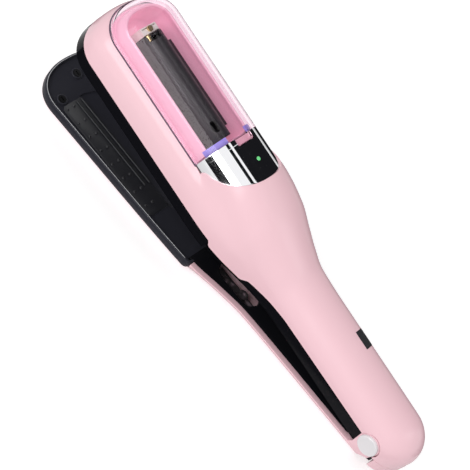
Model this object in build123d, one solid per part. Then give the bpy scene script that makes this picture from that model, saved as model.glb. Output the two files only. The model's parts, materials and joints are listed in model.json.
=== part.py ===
from build123d import *
import os
from math import acos, atan2, cos, pi, radians, sin, sqrt, tan

# A cordless split-end trimmer, in millimetres.
# The body's own axes run from the tip of the head (x = 0) to the tail, y across, z up from the
# body's underside. The arm is drawn closed in the same axes. In the finished part the arm's sole
# lies flat, and the body is turned up about the hinge pin by the opening angle.

# Whole object
TOTAL_LENGTH = 255.0
OPEN_ANGLE = 8.2
HINGE_X = TOTAL_LENGTH - 19.0
HINGE_Z = 9.0

# Head of the body
HEAD_HALF_WIDTH = 26.0
TIP_LENGTH = 19.0
TIP_ROUNDNESS = 2.3
BAND_HEIGHT = 6.7
SEAM_HALF_WIDTH = 20.1
SEAM_HEIGHT = 22.0
SEAM_TIP = 2.8
WINDOW_TOP = 38.7
SHELL_WALL = 2.2

# The side of the head in its cross section: share of the way in, share of the way up
SIDE_SHARES = ((0.0, 0.0), (0.136, 0.477), (0.525, 0.804), (1.0, 1.0))

# Steps along each half of the tip's outline, and turns at which a round end is cut into sections
TIP_STEPS = 6
ROUND_STEPS = (0, 12, 24, 36, 47, 57, 66, 74, 81, 86.5)

# Window, trim panel and neck
WINDOW_END = 83.5
WINDOW_WALL = 1.8
SEAM_GAP = 0.1
NECK_START = 88.0
PANEL_STRAIGHT_END = 90.0
PANEL_END = 107.0
PANEL_HALF_WIDTH = 19.6
PANEL_WALL = 1.4
PANEL_GAP = 0.15
TONGUE_LENGTH = 4.0
TONGUE_WIDTH = 11.0
TAB_GAP = 0.2
HOOK_X = 5.4
HOOK_DEPTH = 1.6
HOOK_HALF = 4.0
BULKHEAD_X = 84.0
BULKHEAD = 1.4

# Neck and handle: x, half width, dome half width, dome foot and top
NECK_STATIONS = (
    (NECK_START, 26.0, 21.0, 22.0, 39.7),
    (105.0, 26.0, 21.2, 22.0, 40.0),
    (114.0, 25.6, 21.5, 21.5, 38.7),
    (124.6, 24.0, 21.4, 19.0, 36.4),
    (136.4, 20.9, 19.6, 15.5, 31.8),
    (146.3, 18.3, 17.9, 12.6, 28.0),
    (157.0, 16.5, 16.4, 10.9, 25.0),
)
HANDLE_HALF_WIDTH = 16.0
HANDLE_FOOT = 10.5
HANDLE_TOP = 24.7
HANDLE_START = 172.0
TAIL_LENGTH = 17.0
TAIL_START = TOTAL_LENGTH - TAIL_LENGTH

# Lower frame
FRAME_END = TAIL_START + 5.0
FRAME_WALL = 2.0
FRAME_FLOOR = 2.0
BAND_GAP = 0.1
BAND_END = 116.0
FRAME_INSET = 2.6
FRAME_TOP = 9.4
LUG_TOP = 13.5

# Arm
ARM_SOLE = -11.0
RIM_HEIGHT = -0.5
ARM_HEAD_HALF_WIDTH = 25.6
ARM_NECK_HALF_WIDTH = 23.1
ARM_NECK_START = 108.0
ARM_HANDLE_START = 152.0
ARM_TAIL_HALF_WIDTH = 15.2
ARM_WALL = 3.0
ARM_FLOOR = 2.0
TRAY_END = 117.5
TRAY_HEIGHT = 5.5
TRAY_RIM = 1.4
TRAY_POCKET = 2.0
TRAY_SKIN = 1.6
HEAD_HOLLOW_START = 24.0
HEAD_HOLLOW_HALF_WIDTH = 15.0
CHANNEL_HALF_WIDTH = 7.2
CHANNEL_START = 21.0
CHANNEL_END = 88.0
CHANNEL_DEPTH = 1.0
LINER_GAP = 0.2
LINER_THICKNESS = 2.0
TRAY_SCREW_PLACES = ((9.4, 0.0), (17.0, -17.8), (17.0, 17.8))
LINER_SCREW_PLACES = ((172.0, 0.0), (HINGE_X - 24.0, 0.0))
BOSS_HEIGHT = 0.9
PAD_INNER = 7.7
PAD_OUTER = ARM_HEAD_HALF_WIDTH - 4.4
PAD_START = 20.4
PAD_END = 88.0
PAD_THICKNESS = 0.5
LINE_SPACING = 3.4
LINE_WIDTH = 0.6
LINE_HEIGHT = 1.0
LINE_END = 73.6
NUB_ROWS = 8
NUB_START = 22.6
NUB_PITCH = 8.5
NUB_LINES = (PAD_OUTER - 6.8, PAD_OUTER - 2.0)
NUB_RADIUS = 0.8
RECESS_X = 138.5
RECESS_Y = -5.4
RECESS_LENGTH = 26.0
RECESS_WIDTH = 12.5
LOCK_HALF = 2.6
LOCK_BASE = 0.8
LOCK_TRAVEL = 3.0
LOCK_END_GAP = 1.5
RAIL_START = RECESS_X - RECESS_LENGTH / 2 + 1
RAIL_END = RECESS_X + RECESS_LENGTH / 2 - 1
LOCK_RING_X = RAIL_START + 6.5
LOCK_RING_RADIUS = 2.2
LOCK_RING_GAP = 1.4

# The arm's half width along its length, drawn closed
ARM_SIDE = (
    (TIP_LENGTH, ARM_HEAD_HALF_WIDTH), (ARM_NECK_START, ARM_NECK_HALF_WIDTH), (119.0, 22.2),
    (134.5, 19.0), (ARM_HANDLE_START, 16.4), (177.0, 15.8), (HINGE_X, ARM_TAIL_HALF_WIDTH),
)

# Hinge
PIN_RADIUS = 2.0
PIN_CLEARANCE = 0.03
EAR_RADIUS = 6.0
EAR_INNER = 13.7
EAR_OUTER = 15.2
CAP_RADIUS = 5.6
CAP_THICKNESS = 1.6
NOTCH_GAP = 0.6
HINGE_GAP = 0.3
SPRING_WIRE = 1.2
SPRING_RADIUS = 3.6
SPRING_PITCH = 1.5
SPRING_TURNS = 6
SPRING_SLOT = 5.6
SPRING_SLOT_START = HINGE_X - 13.0
SPRING_HOOK_START = HINGE_X - 14.0
SPRING_HOOK_END = HINGE_X - 7.5

# Cutting drum and its drive
DRUM_Z = 7.8
DRUM_RADIUS = 5.2
DRUM_CORE_RADIUS = 3.4
DRUM_START = 22.5
DRUM_END = 78.5
DRUM_TWIST = 150.0
SHAFT_RADIUS = 1.5
SHAFT_CLEARANCE = 0.04
HOUSING_START = 21.0
HOUSING_END = 80.0
HOUSING_HALF_WIDTH = 6.8
HOUSING_WALL = 1.2
HOUSING_ARCH_Z = 22.3
BEARING_LENGTH = 4.0
BEARING_WIDTH = 11.0
BEARING_TOP = 26.0
SLOT_HALF_WIDTH = 4.0
FRONT_BEARING_X = 16.6
CHAMBER_Z = 12.8
PLATE_Z = 20.2
PLATE_WIDTH = 5.2
PLATE_THICKNESS = 1.2
COMB_START = 20.0
COMB_END = 82.0
COMB_HALF_WIDTH = 8.8
COMB_THICKNESS = 0.75
COMB_PITCH = 2.4
BLADE_EDGE_Y = 2.6
CHAMBER_WALL = 1.0
CHAMBER_GAP = 0.3
CHAMBER_SIDE_GAP = 1.0
GEAR_MODULE = 0.5
DRUM_TEETH = 20
PINION_TEETH = 16
PRESSURE_ANGLE = 20.0
GEAR_BACKLASH = 0.12
GEAR_START = 90.0
GEAR_WIDTH = 4.0
MOTOR_RADIUS = 8.5
MOTOR_LENGTH = 27.0
MOTOR_GAP = 0.15
GEAR_DISTANCE = GEAR_MODULE * (DRUM_TEETH + PINION_TEETH) / 2
MOTOR_Z = DRUM_Z + GEAR_DISTANCE
MOTOR_START = GEAR_START + GEAR_WIDTH + 2.0
MOTOR_SHAFT_RADIUS = 1.0
MOTOR_SHAFT_DEPTH = 3.0

# Power and switch
CELL_RADIUS = 7.0
CELL_START = 152.0
CELL_LENGTH = HINGE_X - 34.0 - CELL_START
BOARD_THICKNESS = 1.2
BUTTON_X = HINGE_X - 41.9
BUTTON_Y = 8.3
BUTTON_LENGTH = 9.2
BUTTON_WIDTH = 9.6
BUTTON_TRAVEL = 0.6
BUTTON_GAP = 0.2
BUTTON_FLANGE = 0.8
BUTTON_FLANGE_TOP = -3.5
SWITCH_TOP = BUTTON_FLANGE_TOP - BUTTON_FLANGE - BUTTON_TRAVEL - 0.1
SWITCH_HEIGHT = 1.2
SWITCH_BOARD = 1.0
BOARD_START = 126.0
BOARD_END = 148.0
BOARD_HALF = 6.5
BOARD_Z = 8.0
BOARD_POSTS = ((129.0, 4.5), (145.0, 4.5))
SOCKET_WIDTH = 9.0
SOCKET_HEIGHT = 3.2
SOCKET_DEPTH = 7.0
SOCKET_Z = 9.0
SOCKET_END = TOTAL_LENGTH - 1.4
SOCKET_POSTS = ((TOTAL_LENGTH - 7.0, 5.0),)
TAIL_SPLIT = 6.0

# Status light and its board
LIGHT_X = 97.0
LIGHT_RADIUS = 1.0
LIGHT_BOARD_TOP = 35.2

# Screws, posts and seats; each place is x, y and the post's top, also on the other side
SCREW_HEAD_RADIUS = 2.3
SCREW_HEAD_HEIGHT = 1.2
SCREW_RADIUS = 1.1
SHELL_SCREW_PLACES = ((100.0, 20.0, 20.0), (142.0, 9.5, 60.0), (HINGE_X - 17.0, 6.0, 60.0))
SHELL_SCREW_LENGTH = 9.0
POST_RADIUS = 2.4
FRAME_BOSS_TOP = 4.0
RIB_RADIUS = 1.0
SEAT_GAP = 0.1


def box(x0, x1, y0, y1, z0, z1):
    """A box between two corners."""
    return Pos((x0 + x1) / 2, (y0 + y1) / 2, (z0 + z1) / 2) * Box(x1 - x0, y1 - y0, z1 - z0)


def rod(x, y, z, radius, length, axis="Z"):
    """A round rod from a centre point, along an axis."""
    turn = {"Z": (0, 0, 0), "X": (0, 90, 0), "Y": (-90, 0, 0)}[axis]
    return Location((x, y, z), turn) * Cylinder(
        radius, length, align=(Align.CENTER, Align.CENTER, Align.MIN)
    )


def mirrored(solid):
    """The same solid on the other side of the middle plane."""
    return mirror(solid, about=Plane.XZ)


def tip_points(tip, half_width):
    """Points round the superelliptic tip, from one side to the other."""
    power = 2 / TIP_ROUNDNESS
    points = []
    for step in range(-TIP_STEPS, TIP_STEPS + 1):
        turn = radians(90 * step / TIP_STEPS)
        y = half_width * abs(sin(turn)) ** power * (1 if step > 0 else -1)
        points.append((TIP_LENGTH - (TIP_LENGTH - tip) * abs(cos(turn)) ** power, y))
    points[0], points[TIP_STEPS] = (TIP_LENGTH, -half_width), (tip, 0)
    points[-1] = (TIP_LENGTH, half_width)
    return points


def tip_outline(tip, half_width, z, end):
    """A closed plan outline: a superelliptic tip, straight sides and a square end."""
    curve = Spline(tip_points(tip, half_width), tangents=[(-1, 0, 0), (1, 0, 0)])
    right = Line((TIP_LENGTH, half_width), (end, half_width))
    back = Line((end, half_width), (end, -half_width))
    left = Line((end, -half_width), (TIP_LENGTH, -half_width))
    return Pos(0, 0, z) * make_face(Wire([curve, right, back, left]))


def side_points(half_width, dome_half_width, low, high):
    """The side wall's points in a cross section, from the band up to the dome."""
    points = []
    for inward, upward in SIDE_SHARES:
        y = half_width - inward * (half_width - dome_half_width)
        points.append((y, low + upward * (high - low)))
    return points


def dome_bar(start, end, half_width, foot, top):
    """A half-elliptic bar along x."""
    plane = Plane((start, 0, foot), x_dir=(0, 1, 0), z_dir=(1, 0, 0))
    bar = extrude(plane * Ellipse(half_width, top - foot), end - start)
    return bar & box(start, end, -half_width, half_width, foot, top)


def dome_tip(tip, half_width, foot, top):
    """The round end of the window's dome, as half-elliptic sections that shrink to the tip."""
    sections = []
    for turn in ROUND_STEPS:
        size = cos(radians(turn))
        x = TIP_LENGTH - (TIP_LENGTH - tip) * sin(radians(turn))
        plane = Plane((x, 0, foot), x_dir=(0, 1, 0), z_dir=(1, 0, 0))
        arch = EllipticalCenterArc(
            (0, 0), half_width * size, (top - foot) * size, start_angle=0, arc_size=180
        )
        sections.append(plane * make_face(Wire([arch, Line(arch @ 1, arch @ 0)])))
    return loft(sections, ruled=True)


def head_block(inset, end):
    """The head below its window seam, in flat-sided levels."""
    levels = []
    for (inward, _), (y, z) in zip(
        SIDE_SHARES, side_points(HEAD_HALF_WIDTH, SEAM_HALF_WIDTH, BAND_HEIGHT, SEAM_HEIGHT)
    ):
        levels.append((inward * SEAM_TIP + inset, y - inset, z))
    levels.insert(0, (inset, HEAD_HALF_WIDTH - inset, 0.0))
    return loft([tip_outline(tip, half, z, end) for tip, half, z in levels], ruled=True)


def neck_section(x, half_width, dome_half_width, foot, top):
    """One cross section of the neck or handle, as a face across x."""
    low = min(BAND_HEIGHT, foot * 0.6)
    right = [(half_width, 0.0)] + side_points(half_width, dome_half_width, low, foot)
    left = [(-y, z) for y, z in reversed(right)]
    arch = EllipticalCenterArc(
        (0, foot), dome_half_width, top - foot, start_angle=0, arc_size=180
    )
    edges = [Line(a, b) for a, b in zip(right, right[1:])]
    edges.append(arch)
    edges += [Line(a, b) for a, b in zip(left, left[1:])]
    edges.append(Line(left[-1], right[0]))
    plane = Plane((x, 0, 0), x_dir=(0, 1, 0), z_dir=(1, 0, 0))
    return plane * make_face(Wire(edges))


def neck_and_handle(inset):
    """The neck, the handle and the round tail."""
    half = HANDLE_HALF_WIDTH - inset
    rise = HANDLE_TOP - HANDLE_FOOT - inset
    sections = [
        neck_section(x, side - inset, dome - inset, foot, top - inset)
        for x, side, dome, foot, top in NECK_STATIONS
    ]
    for x in (HANDLE_START, (HANDLE_START + TAIL_START) / 2):
        sections.append(neck_section(x, half, half, HANDLE_FOOT, HANDLE_FOOT + rise))
    for turn in ROUND_STEPS:
        size = cos(radians(turn))
        x = TAIL_START + (TAIL_LENGTH - inset) * sin(radians(turn))
        sections.append(
            neck_section(x, half * size, half * size, HANDLE_FOOT, HANDLE_FOOT + rise * size)
        )
    return loft(sections, ruled=True)


def body_form(inset):
    """The body's outer form without the window's dome, or the same form drawn inwards."""
    return head_block(inset, NECK_START) + neck_and_handle(inset)


def above_parting():
    """Everything above the line where the pink shell meets the black frame."""
    profile = Polyline(
        (-9, BAND_HEIGHT), (BAND_END, BAND_HEIGHT), (BAND_END + 1.2, 4.0), (139, 4.0),
        (141.5, 7.0), (165, 9.4), (HINGE_X - 8, HANDLE_FOOT), (HINGE_X, HANDLE_FOOT),
        (HINGE_X, TAIL_SPLIT), (TOTAL_LENGTH + 9, TAIL_SPLIT), (TOTAL_LENGTH + 9, 70), (-9, 70),
        close=True,
    )
    face = Plane.XZ * make_face(profile)
    return extrude(face, 45, both=True)


def gear_face(teeth):
    """A spur gear outline with involute flanks, thinned by the backlash."""
    slope = radians(PRESSURE_ANGLE)
    pitch = GEAR_MODULE * teeth / 2
    base = pitch * cos(slope)
    outer = pitch + 0.85 * GEAR_MODULE
    root = pitch - 1.15 * GEAR_MODULE
    half_tooth = (pi * GEAR_MODULE / 2 - GEAR_BACKLASH) / 2 / pitch

    def flank_turn(radius):
        roll = acos(min(1.0, base / radius))
        return half_tooth + (tan(slope) - slope) - (tan(roll) - roll)

    low = max(base, root)
    radii = [low + (outer - low) * step / 5 for step in range(6)]
    points = []
    for tooth in range(teeth):
        middle = 2 * pi * tooth / teeth
        flank = [(root, flank_turn(low))] + [(r, flank_turn(r)) for r in radii]
        for radius, turn in flank:
            points.append((radius * cos(middle - turn), radius * sin(middle - turn)))
        for radius, turn in reversed(flank):
            points.append((radius * cos(middle + turn), radius * sin(middle + turn)))
    return make_face(Polyline(*points, close=True))


def across(x, y, z, turn=0.0):
    """A drawing plane that looks along x, turned about its own axis."""
    plane = Plane((x, y, z), x_dir=(0, 1, 0), z_dir=(1, 0, 0))
    return plane * Rot(0, 0, turn)


def panel_column(gap):
    """The upright column whose plan is the D shape of the trim panel."""
    straight = box(
        WINDOW_END - gap, PANEL_STRAIGHT_END, -SEAM_HALF_WIDTH - gap, SEAM_HALF_WIDTH + gap,
        SEAM_HEIGHT, 60,
    )
    reach = PANEL_END - PANEL_STRAIGHT_END + gap
    nose = Pos(PANEL_STRAIGHT_END, 0, SEAM_HEIGHT) * extrude(
        Ellipse(PANEL_HALF_WIDTH + gap, reach, rotation=90), 60 - SEAM_HEIGHT
    )
    nose = nose & box(PANEL_STRAIGHT_END, PANEL_END + 2, -40, 40, SEAM_HEIGHT, 60)
    return straight + nose


def window_dome(inset, start, end):
    """The window's dome drawn inwards, from its tip end if start is left out."""
    half = SEAM_HALF_WIDTH - inset
    top = WINDOW_TOP - inset
    if start is not None:
        return dome_bar(start, end, half, SEAM_HEIGHT, top)
    bar = dome_bar(TIP_LENGTH, end, half, SEAM_HEIGHT, top)
    return bar + dome_tip(SEAM_TIP + inset, half, SEAM_HEIGHT, top)


# The power button lies on the handle's far side, square to the curved surface there.
BUTTON_RISE = (HANDLE_TOP - HANDLE_FOOT) * sqrt(1 - (BUTTON_Y / HANDLE_HALF_WIDTH) ** 2)
BUTTON_LEAN = atan2(
    BUTTON_Y / HANDLE_HALF_WIDTH**2, BUTTON_RISE / (HANDLE_TOP - HANDLE_FOOT) ** 2
)
BUTTON_NORMAL = (0, sin(BUTTON_LEAN), cos(BUTTON_LEAN))
BUTTON_PLANE = Plane(
    (BUTTON_X, BUTTON_Y, HANDLE_FOOT + BUTTON_RISE), x_dir=(1, 0, 0), z_dir=BUTTON_NORMAL
)


def at_button(solid):
    """Place a solid drawn about the button's centre, with z out of the handle."""
    return BUTTON_PLANE.location * solid


def both_sides(places):
    """Each place and its mirror place."""
    return [(x, side * y, *rest) for x, y, *rest in places for side in (-1, 1)]


def hinge_rod(radius, y0, y1):
    """A round rod on the hinge's axis."""
    return rod(HINGE_X, y0, HINGE_Z, radius, y1 - y0, "Y")


def make_upper_shell(forms):
    """The pink shell of the body, with its screw posts and the ribs behind the button."""
    solid, hollow = forms["outer"], forms["shell_inner"]
    shell = (solid & above_parting()) - hollow
    posts = None
    for x, y, top in both_sides(SHELL_SCREW_PLACES):
        low = FRAME_BOSS_TOP + SEAT_GAP
        post = rod(x, y, low, POST_RADIUS, top - low)
        post -= rod(x, y, FRAME_BOSS_TOP, SCREW_RADIUS, SHELL_SCREW_LENGTH)
        posts = post if posts is None else posts + post
    shell += posts & forms["shell_middle"]
    for side in (-1, 1):
        rib_foot = SWITCH_TOP - SWITCH_HEIGHT
        rib = rod(side * (BUTTON_LENGTH / 2 + BUTTON_GAP + 2), 0, rib_foot, RIB_RADIUS, 5.4)
        shell += at_button(rib)
    shell -= panel_column(PANEL_GAP)
    notch = EAR_RADIUS + NOTCH_GAP
    frame_side = HANDLE_HALF_WIDTH - FRAME_INSET
    shell -= hinge_rod(notch, frame_side, 20) + hinge_rod(notch, -20, -frame_side)
    hole_x = BUTTON_LENGTH / 2 + BUTTON_GAP
    hole_y = BUTTON_WIDTH / 2 + BUTTON_GAP
    shell -= at_button(box(-hole_x, hole_x, -hole_y, hole_y, -6, 3))
    half = SOCKET_WIDTH / 2 + 0.2
    tall = SOCKET_HEIGHT / 2 + 0.2
    shell -= box(
        TOTAL_LENGTH - 8, TOTAL_LENGTH + 2, -half, half, SOCKET_Z - tall, SOCKET_Z + tall
    )
    return shell


def make_base_frame(forms):
    """The black lower frame: a band under the head and a channel along the handle."""
    band = forms["outer"] & box(-2, BAND_END, -40, 40, 0, BAND_HEIGHT - BAND_GAP)
    band -= forms["frame_wall"] & box(-2, BAND_END - FRAME_WALL, -40, 40, FRAME_FLOOR, 60)
    side = HANDLE_HALF_WIDTH - FRAME_INSET
    channel = forms["frame_outer"] & box(BAND_END, FRAME_END, -40, 40, 0, FRAME_TOP)
    channel -= forms["frame_inner"] & box(
        BAND_END, FRAME_END - FRAME_WALL, -40, 40, FRAME_FLOOR, 60
    )
    lug_start = HINGE_X - EAR_RADIUS - 2
    lug = forms["frame_outer"] & box(
        lug_start, FRAME_END, -side, side, FRAME_FLOOR, LUG_TOP
    )
    lug -= box(0, TOTAL_LENGTH, -side + FRAME_WALL, side - FRAME_WALL, 0, 60)
    frame = band + channel + lug
    bore = PIN_RADIUS + PIN_CLEARANCE
    frame -= hinge_rod(bore, -side - 1, side + 1)
    frame -= box(
        DRUM_START, DRUM_END, -SLOT_HALF_WIDTH, SLOT_HALF_WIDTH, -1, FRAME_FLOOR + 1
    )
    frame -= box(
        COMB_START - SEAT_GAP, COMB_END + SEAT_GAP, -COMB_HALF_WIDTH - SEAT_GAP,
        COMB_HALF_WIDTH + SEAT_GAP, -1, COMB_THICKNESS + SEAT_GAP,
    )
    for x, y, _ in both_sides(SHELL_SCREW_PLACES):
        frame += rod(x, y, 0, POST_RADIUS + 1, FRAME_BOSS_TOP)
        frame -= rod(x, y, 0, SCREW_HEAD_RADIUS + SEAT_GAP, SCREW_HEAD_HEIGHT + SEAT_GAP)
        frame -= rod(x, y, 0, SCREW_RADIUS + SEAT_GAP, FRAME_BOSS_TOP + 1)
    for x, y in both_sides(BOARD_POSTS):
        frame += rod(x, y, FRAME_FLOOR / 2, RIB_RADIUS, BOARD_Z - SEAT_GAP - FRAME_FLOOR / 2)
    slot_end = HINGE_X + SPRING_RADIUS + SPRING_WIRE + 1
    return frame - box(
        SPRING_SLOT_START, slot_end, 0, SPRING_SLOT, -1, FRAME_FLOOR + 1
    )


def make_tail_piece(forms):
    """The pink piece under the tail, behind the hinge."""
    front = FRAME_END + 2 * HINGE_GAP
    piece = forms["outer"] & box(front, TOTAL_LENGTH + 1, -40, 40, 0, TAIL_SPLIT - SEAT_GAP)
    piece -= forms["shell_inner"] & box(front, TOTAL_LENGTH, -40, 40, FRAME_FLOOR, 60)
    for x, y in both_sides(SOCKET_POSTS):
        piece += rod(x, y, FRAME_FLOOR - 0.5, RIB_RADIUS, TAIL_SPLIT + 0.2 - FRAME_FLOOR + 0.5)
    return piece


def make_window_cover():
    """The clear dome over the head, with a hook at the tip and a tab at the lower edge."""
    rear = WINDOW_END - SEAM_GAP
    tab_end = WINDOW_END + TONGUE_LENGTH
    foot = SEAM_HEIGHT + SEAM_GAP
    dome = window_dome(0, None, tab_end) - window_dome(WINDOW_WALL, None, tab_end)
    dome &= box(0, tab_end, -40, 40, foot, 60)
    half = TONGUE_WIDTH / 2
    dome -= box(rear, tab_end, half, 40, 0, 60) + box(rear, tab_end, -40, -half, 0, 60)
    root = box(SEAM_TIP + 1.4, HOOK_X + HOOK_DEPTH, -HOOK_HALF, HOOK_HALF, foot, foot + 1.2)
    hook = box(HOOK_X, HOOK_X + HOOK_DEPTH, -HOOK_HALF, HOOK_HALF, foot - 2, foot + 0.5)
    return dome + root + hook


def make_cover_tongue():
    """The pink insert under the window's tab, with the snap that holds the cover down."""
    start = WINDOW_END + 0.6
    end = WINDOW_END + TONGUE_LENGTH - 0.3
    half = TONGUE_WIDTH / 2 - 0.4
    plate = window_dome(WINDOW_WALL, start, end) - window_dome(WINDOW_WALL + 0.9, start, end)
    return plate & box(start, end, -half, half, 0, 60)


def make_trim_panel():
    """The D-shaped chrome panel below the window."""
    start = WINDOW_END + SEAM_GAP
    panel = window_dome(0, start, PANEL_END + 1) - window_dome(PANEL_WALL, start, PANEL_END + 1)
    panel &= panel_column(0)
    panel &= box(start, PANEL_END, -40, 40, SEAM_HEIGHT + SEAM_GAP, 60)
    half = TONGUE_WIDTH / 2 + TAB_GAP
    panel -= box(start - 1, WINDOW_END + TONGUE_LENGTH + TAB_GAP, -half, half, 30, 60)
    return panel - rod(LIGHT_X, 0, 30, LIGHT_RADIUS + SEAT_GAP, 20)


def make_panel_frame():
    """The black frame that carries the trim panel and closes the clippings chamber."""
    inset = PANEL_WALL + SEAT_GAP
    end = PANEL_END + 2
    hood = window_dome(inset, BULKHEAD_X, end)
    hood -= window_dome(inset + BULKHEAD, BULKHEAD_X, end)
    half = SEAM_HALF_WIDTH - inset
    plate_end = BULKHEAD_X + BULKHEAD
    plate = window_dome(inset, BULKHEAD_X, plate_end)
    low = FRAME_FLOOR + SEAT_GAP
    plate += box(BULKHEAD_X, plate_end, -half, half, low, SEAM_HEIGHT)
    plate &= head_block(SHELL_WALL + SEAT_GAP + 0.2, plate_end) + box(
        BULKHEAD_X, plate_end, -half, half, SEAM_HEIGHT, 60
    )
    frame = hood + plate
    frame -= rod(BULKHEAD_X - 1, 0, DRUM_Z, SHAFT_RADIUS + 0.6, BULKHEAD + 2, "X")
    half = TONGUE_WIDTH / 2 + TAB_GAP
    frame -= box(
        BULKHEAD_X - 1, WINDOW_END + TONGUE_LENGTH + TAB_GAP, -half, half,
        WINDOW_TOP - 5, 60,
    )
    return frame - rod(LIGHT_X, 0, 30, LIGHT_RADIUS + SEAT_GAP, 20)


def make_chamber_tray():
    """The lilac inner tray that catches the clippings under the window."""
    end = BULKHEAD_X - CHAMBER_GAP
    top = SEAM_HEIGHT - 0.3
    gap = SHELL_WALL + CHAMBER_SIDE_GAP
    tray = head_block(gap, end) & box(0, end, -40, 40, CHAMBER_Z, top)
    wall = gap + CHAMBER_WALL
    tray -= head_block(wall, end - CHAMBER_WALL) & box(
        0, end, -40, 40, CHAMBER_Z + CHAMBER_WALL, 60
    )
    tray -= box(0, HOOK_X + HOOK_DEPTH + 0.5, -HOOK_HALF - 0.5, HOOK_HALF + 0.5, top - 2.6, 60)
    side = HOUSING_HALF_WIDTH + CHAMBER_GAP
    front = FRONT_BEARING_X - CHAMBER_GAP
    tray -= box(front, HOUSING_END + CHAMBER_GAP, -side, side, 0, 60)
    return tray


def make_cutter_housing():
    """The black housing over the cutting drum, round on top and open below."""
    low = FRAME_FLOOR + SEAT_GAP
    length = HOUSING_END - HOUSING_START
    half = HOUSING_HALF_WIDTH
    housing = box(HOUSING_START, HOUSING_END, -half, half, low, HOUSING_ARCH_Z)
    housing += rod(HOUSING_START, 0, HOUSING_ARCH_Z, half, length, "X")
    hollow = half - HOUSING_WALL
    housing -= box(HOUSING_START - 1, HOUSING_END + 1, -hollow, hollow, 0, HOUSING_ARCH_Z)
    housing -= rod(HOUSING_START - 1, 0, HOUSING_ARCH_Z, hollow, length + 2, "X")
    return housing - box(
        HOUSING_START + 6, HOUSING_END - 6, 0, 20, CHAMBER_Z + 1.5, PLATE_Z - 1
    )


def make_housing_plate():
    """The flat black plate along the housing's side."""
    y = HOUSING_HALF_WIDTH
    return box(
        HOUSING_START + 6, HOUSING_END - 5, y, y + PLATE_WIDTH, PLATE_Z, PLATE_Z + PLATE_THICKNESS
    )


def make_front_bearing():
    """The off-white block that carries the drum's front end."""
    half = BEARING_WIDTH / 2
    end = FRONT_BEARING_X + BEARING_LENGTH
    block = box(FRONT_BEARING_X, end, -half, half, FRAME_FLOOR + SEAT_GAP, BEARING_TOP)
    block -= rod(FRONT_BEARING_X - 1, 0, DRUM_Z, SHAFT_RADIUS + SHAFT_CLEARANCE, 9, "X")
    middle = FRONT_BEARING_X + BEARING_LENGTH / 2
    return block - rod(middle, 0, BEARING_TOP - 6, SCREW_RADIUS, 7)


def make_bearing_screw():
    """The small brass screw on top of the front bearing."""
    middle = FRONT_BEARING_X + BEARING_LENGTH / 2
    screw = rod(middle, 0, BEARING_TOP, 1.5, 0.9)
    return screw + rod(middle, 0, BEARING_TOP - 5, SCREW_RADIUS - 0.05, 5)


def make_rear_bearing():
    """The block that carries the drum's rear end, under the chamber tray."""
    half = BEARING_WIDTH / 2
    start = HOUSING_END + SEAT_GAP
    block = box(
        start, BULKHEAD_X - SEAT_GAP, -half, half, FRAME_FLOOR + SEAT_GAP, CHAMBER_Z - SEAT_GAP
    )
    return block - rod(start - 1, 0, DRUM_Z, SHAFT_RADIUS + SHAFT_CLEARANCE, 9, "X")


def make_blade_roller():
    """The cutting drum: a core with three twisted blades."""
    section = Circle(DRUM_CORE_RADIUS)
    for turn in (0, 120, 240):
        blade = Pos(DRUM_RADIUS / 2, 0) * Rectangle(DRUM_RADIUS, 1.4)
        section += Rot(0, 0, turn) * blade
    face = section.faces()[0]
    roller = Solid.extrude_linear_with_rotation(
        face, (0, 0, 0), (0, 0, DRUM_END - DRUM_START - 2 * HINGE_GAP), DRUM_TWIST
    )
    roller = Location((DRUM_START + HINGE_GAP, 0, DRUM_Z), (0, 90, 0)) * roller
    return roller - rod(DRUM_START - 1, 0, DRUM_Z, SHAFT_RADIUS + 0.01, 60, "X")


def make_roller_shaft():
    """The steel shaft through the drum, its bearings and its gear."""
    start = FRONT_BEARING_X + 0.5
    return rod(start, 0, DRUM_Z, SHAFT_RADIUS, GEAR_START + GEAR_WIDTH + 0.5 - start, "X")


def make_roller_gear():
    """The gear on the drum's shaft."""
    gear = extrude(across(GEAR_START, 0, DRUM_Z, 90) * gear_face(DRUM_TEETH), GEAR_WIDTH)
    return gear - rod(GEAR_START - 1, 0, DRUM_Z, SHAFT_RADIUS + 0.01, GEAR_WIDTH + 2, "X")


def make_motor_pinion():
    """The pinion and the motor's turning shaft."""
    turn = 180 / PINION_TEETH - 90
    pinion = extrude(across(GEAR_START, 0, MOTOR_Z, turn) * gear_face(PINION_TEETH), GEAR_WIDTH)
    length = MOTOR_START + MOTOR_SHAFT_DEPTH - GEAR_START - SEAT_GAP
    return pinion + rod(GEAR_START, 0, MOTOR_Z, MOTOR_SHAFT_RADIUS, length, "X")


def make_drive_motor():
    """The small can motor that drives the drum."""
    motor = rod(MOTOR_START, 0, MOTOR_Z, MOTOR_RADIUS, MOTOR_LENGTH, "X")
    motor += rod(MOTOR_START + MOTOR_LENGTH, 0, MOTOR_Z, 3.0, 1.5, "X")
    flat = MOTOR_RADIUS - 1
    motor &= box(0, 300, -flat, flat, 0, 60)
    bore = MOTOR_SHAFT_RADIUS + PIN_CLEARANCE
    return motor - rod(MOTOR_START - 1, 0, MOTOR_Z, bore, MOTOR_SHAFT_DEPTH + 1, "X")


def make_motor_mount():
    """The cradle that holds the motor above the frame."""
    start = MOTOR_START + 2
    half = MOTOR_RADIUS - 1 + MOTOR_GAP + 1.5
    low = FRAME_FLOOR + SEAT_GAP
    mount = box(start, BAND_END - FRAME_WALL - 1, -half, half, low, MOTOR_Z)
    flat = MOTOR_RADIUS - 1 + MOTOR_GAP
    room = rod(start - 1, 0, MOTOR_Z, MOTOR_RADIUS + MOTOR_GAP, 60, "X")
    return mount - (room & box(0, 300, -flat, flat, 0, 60))


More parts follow.
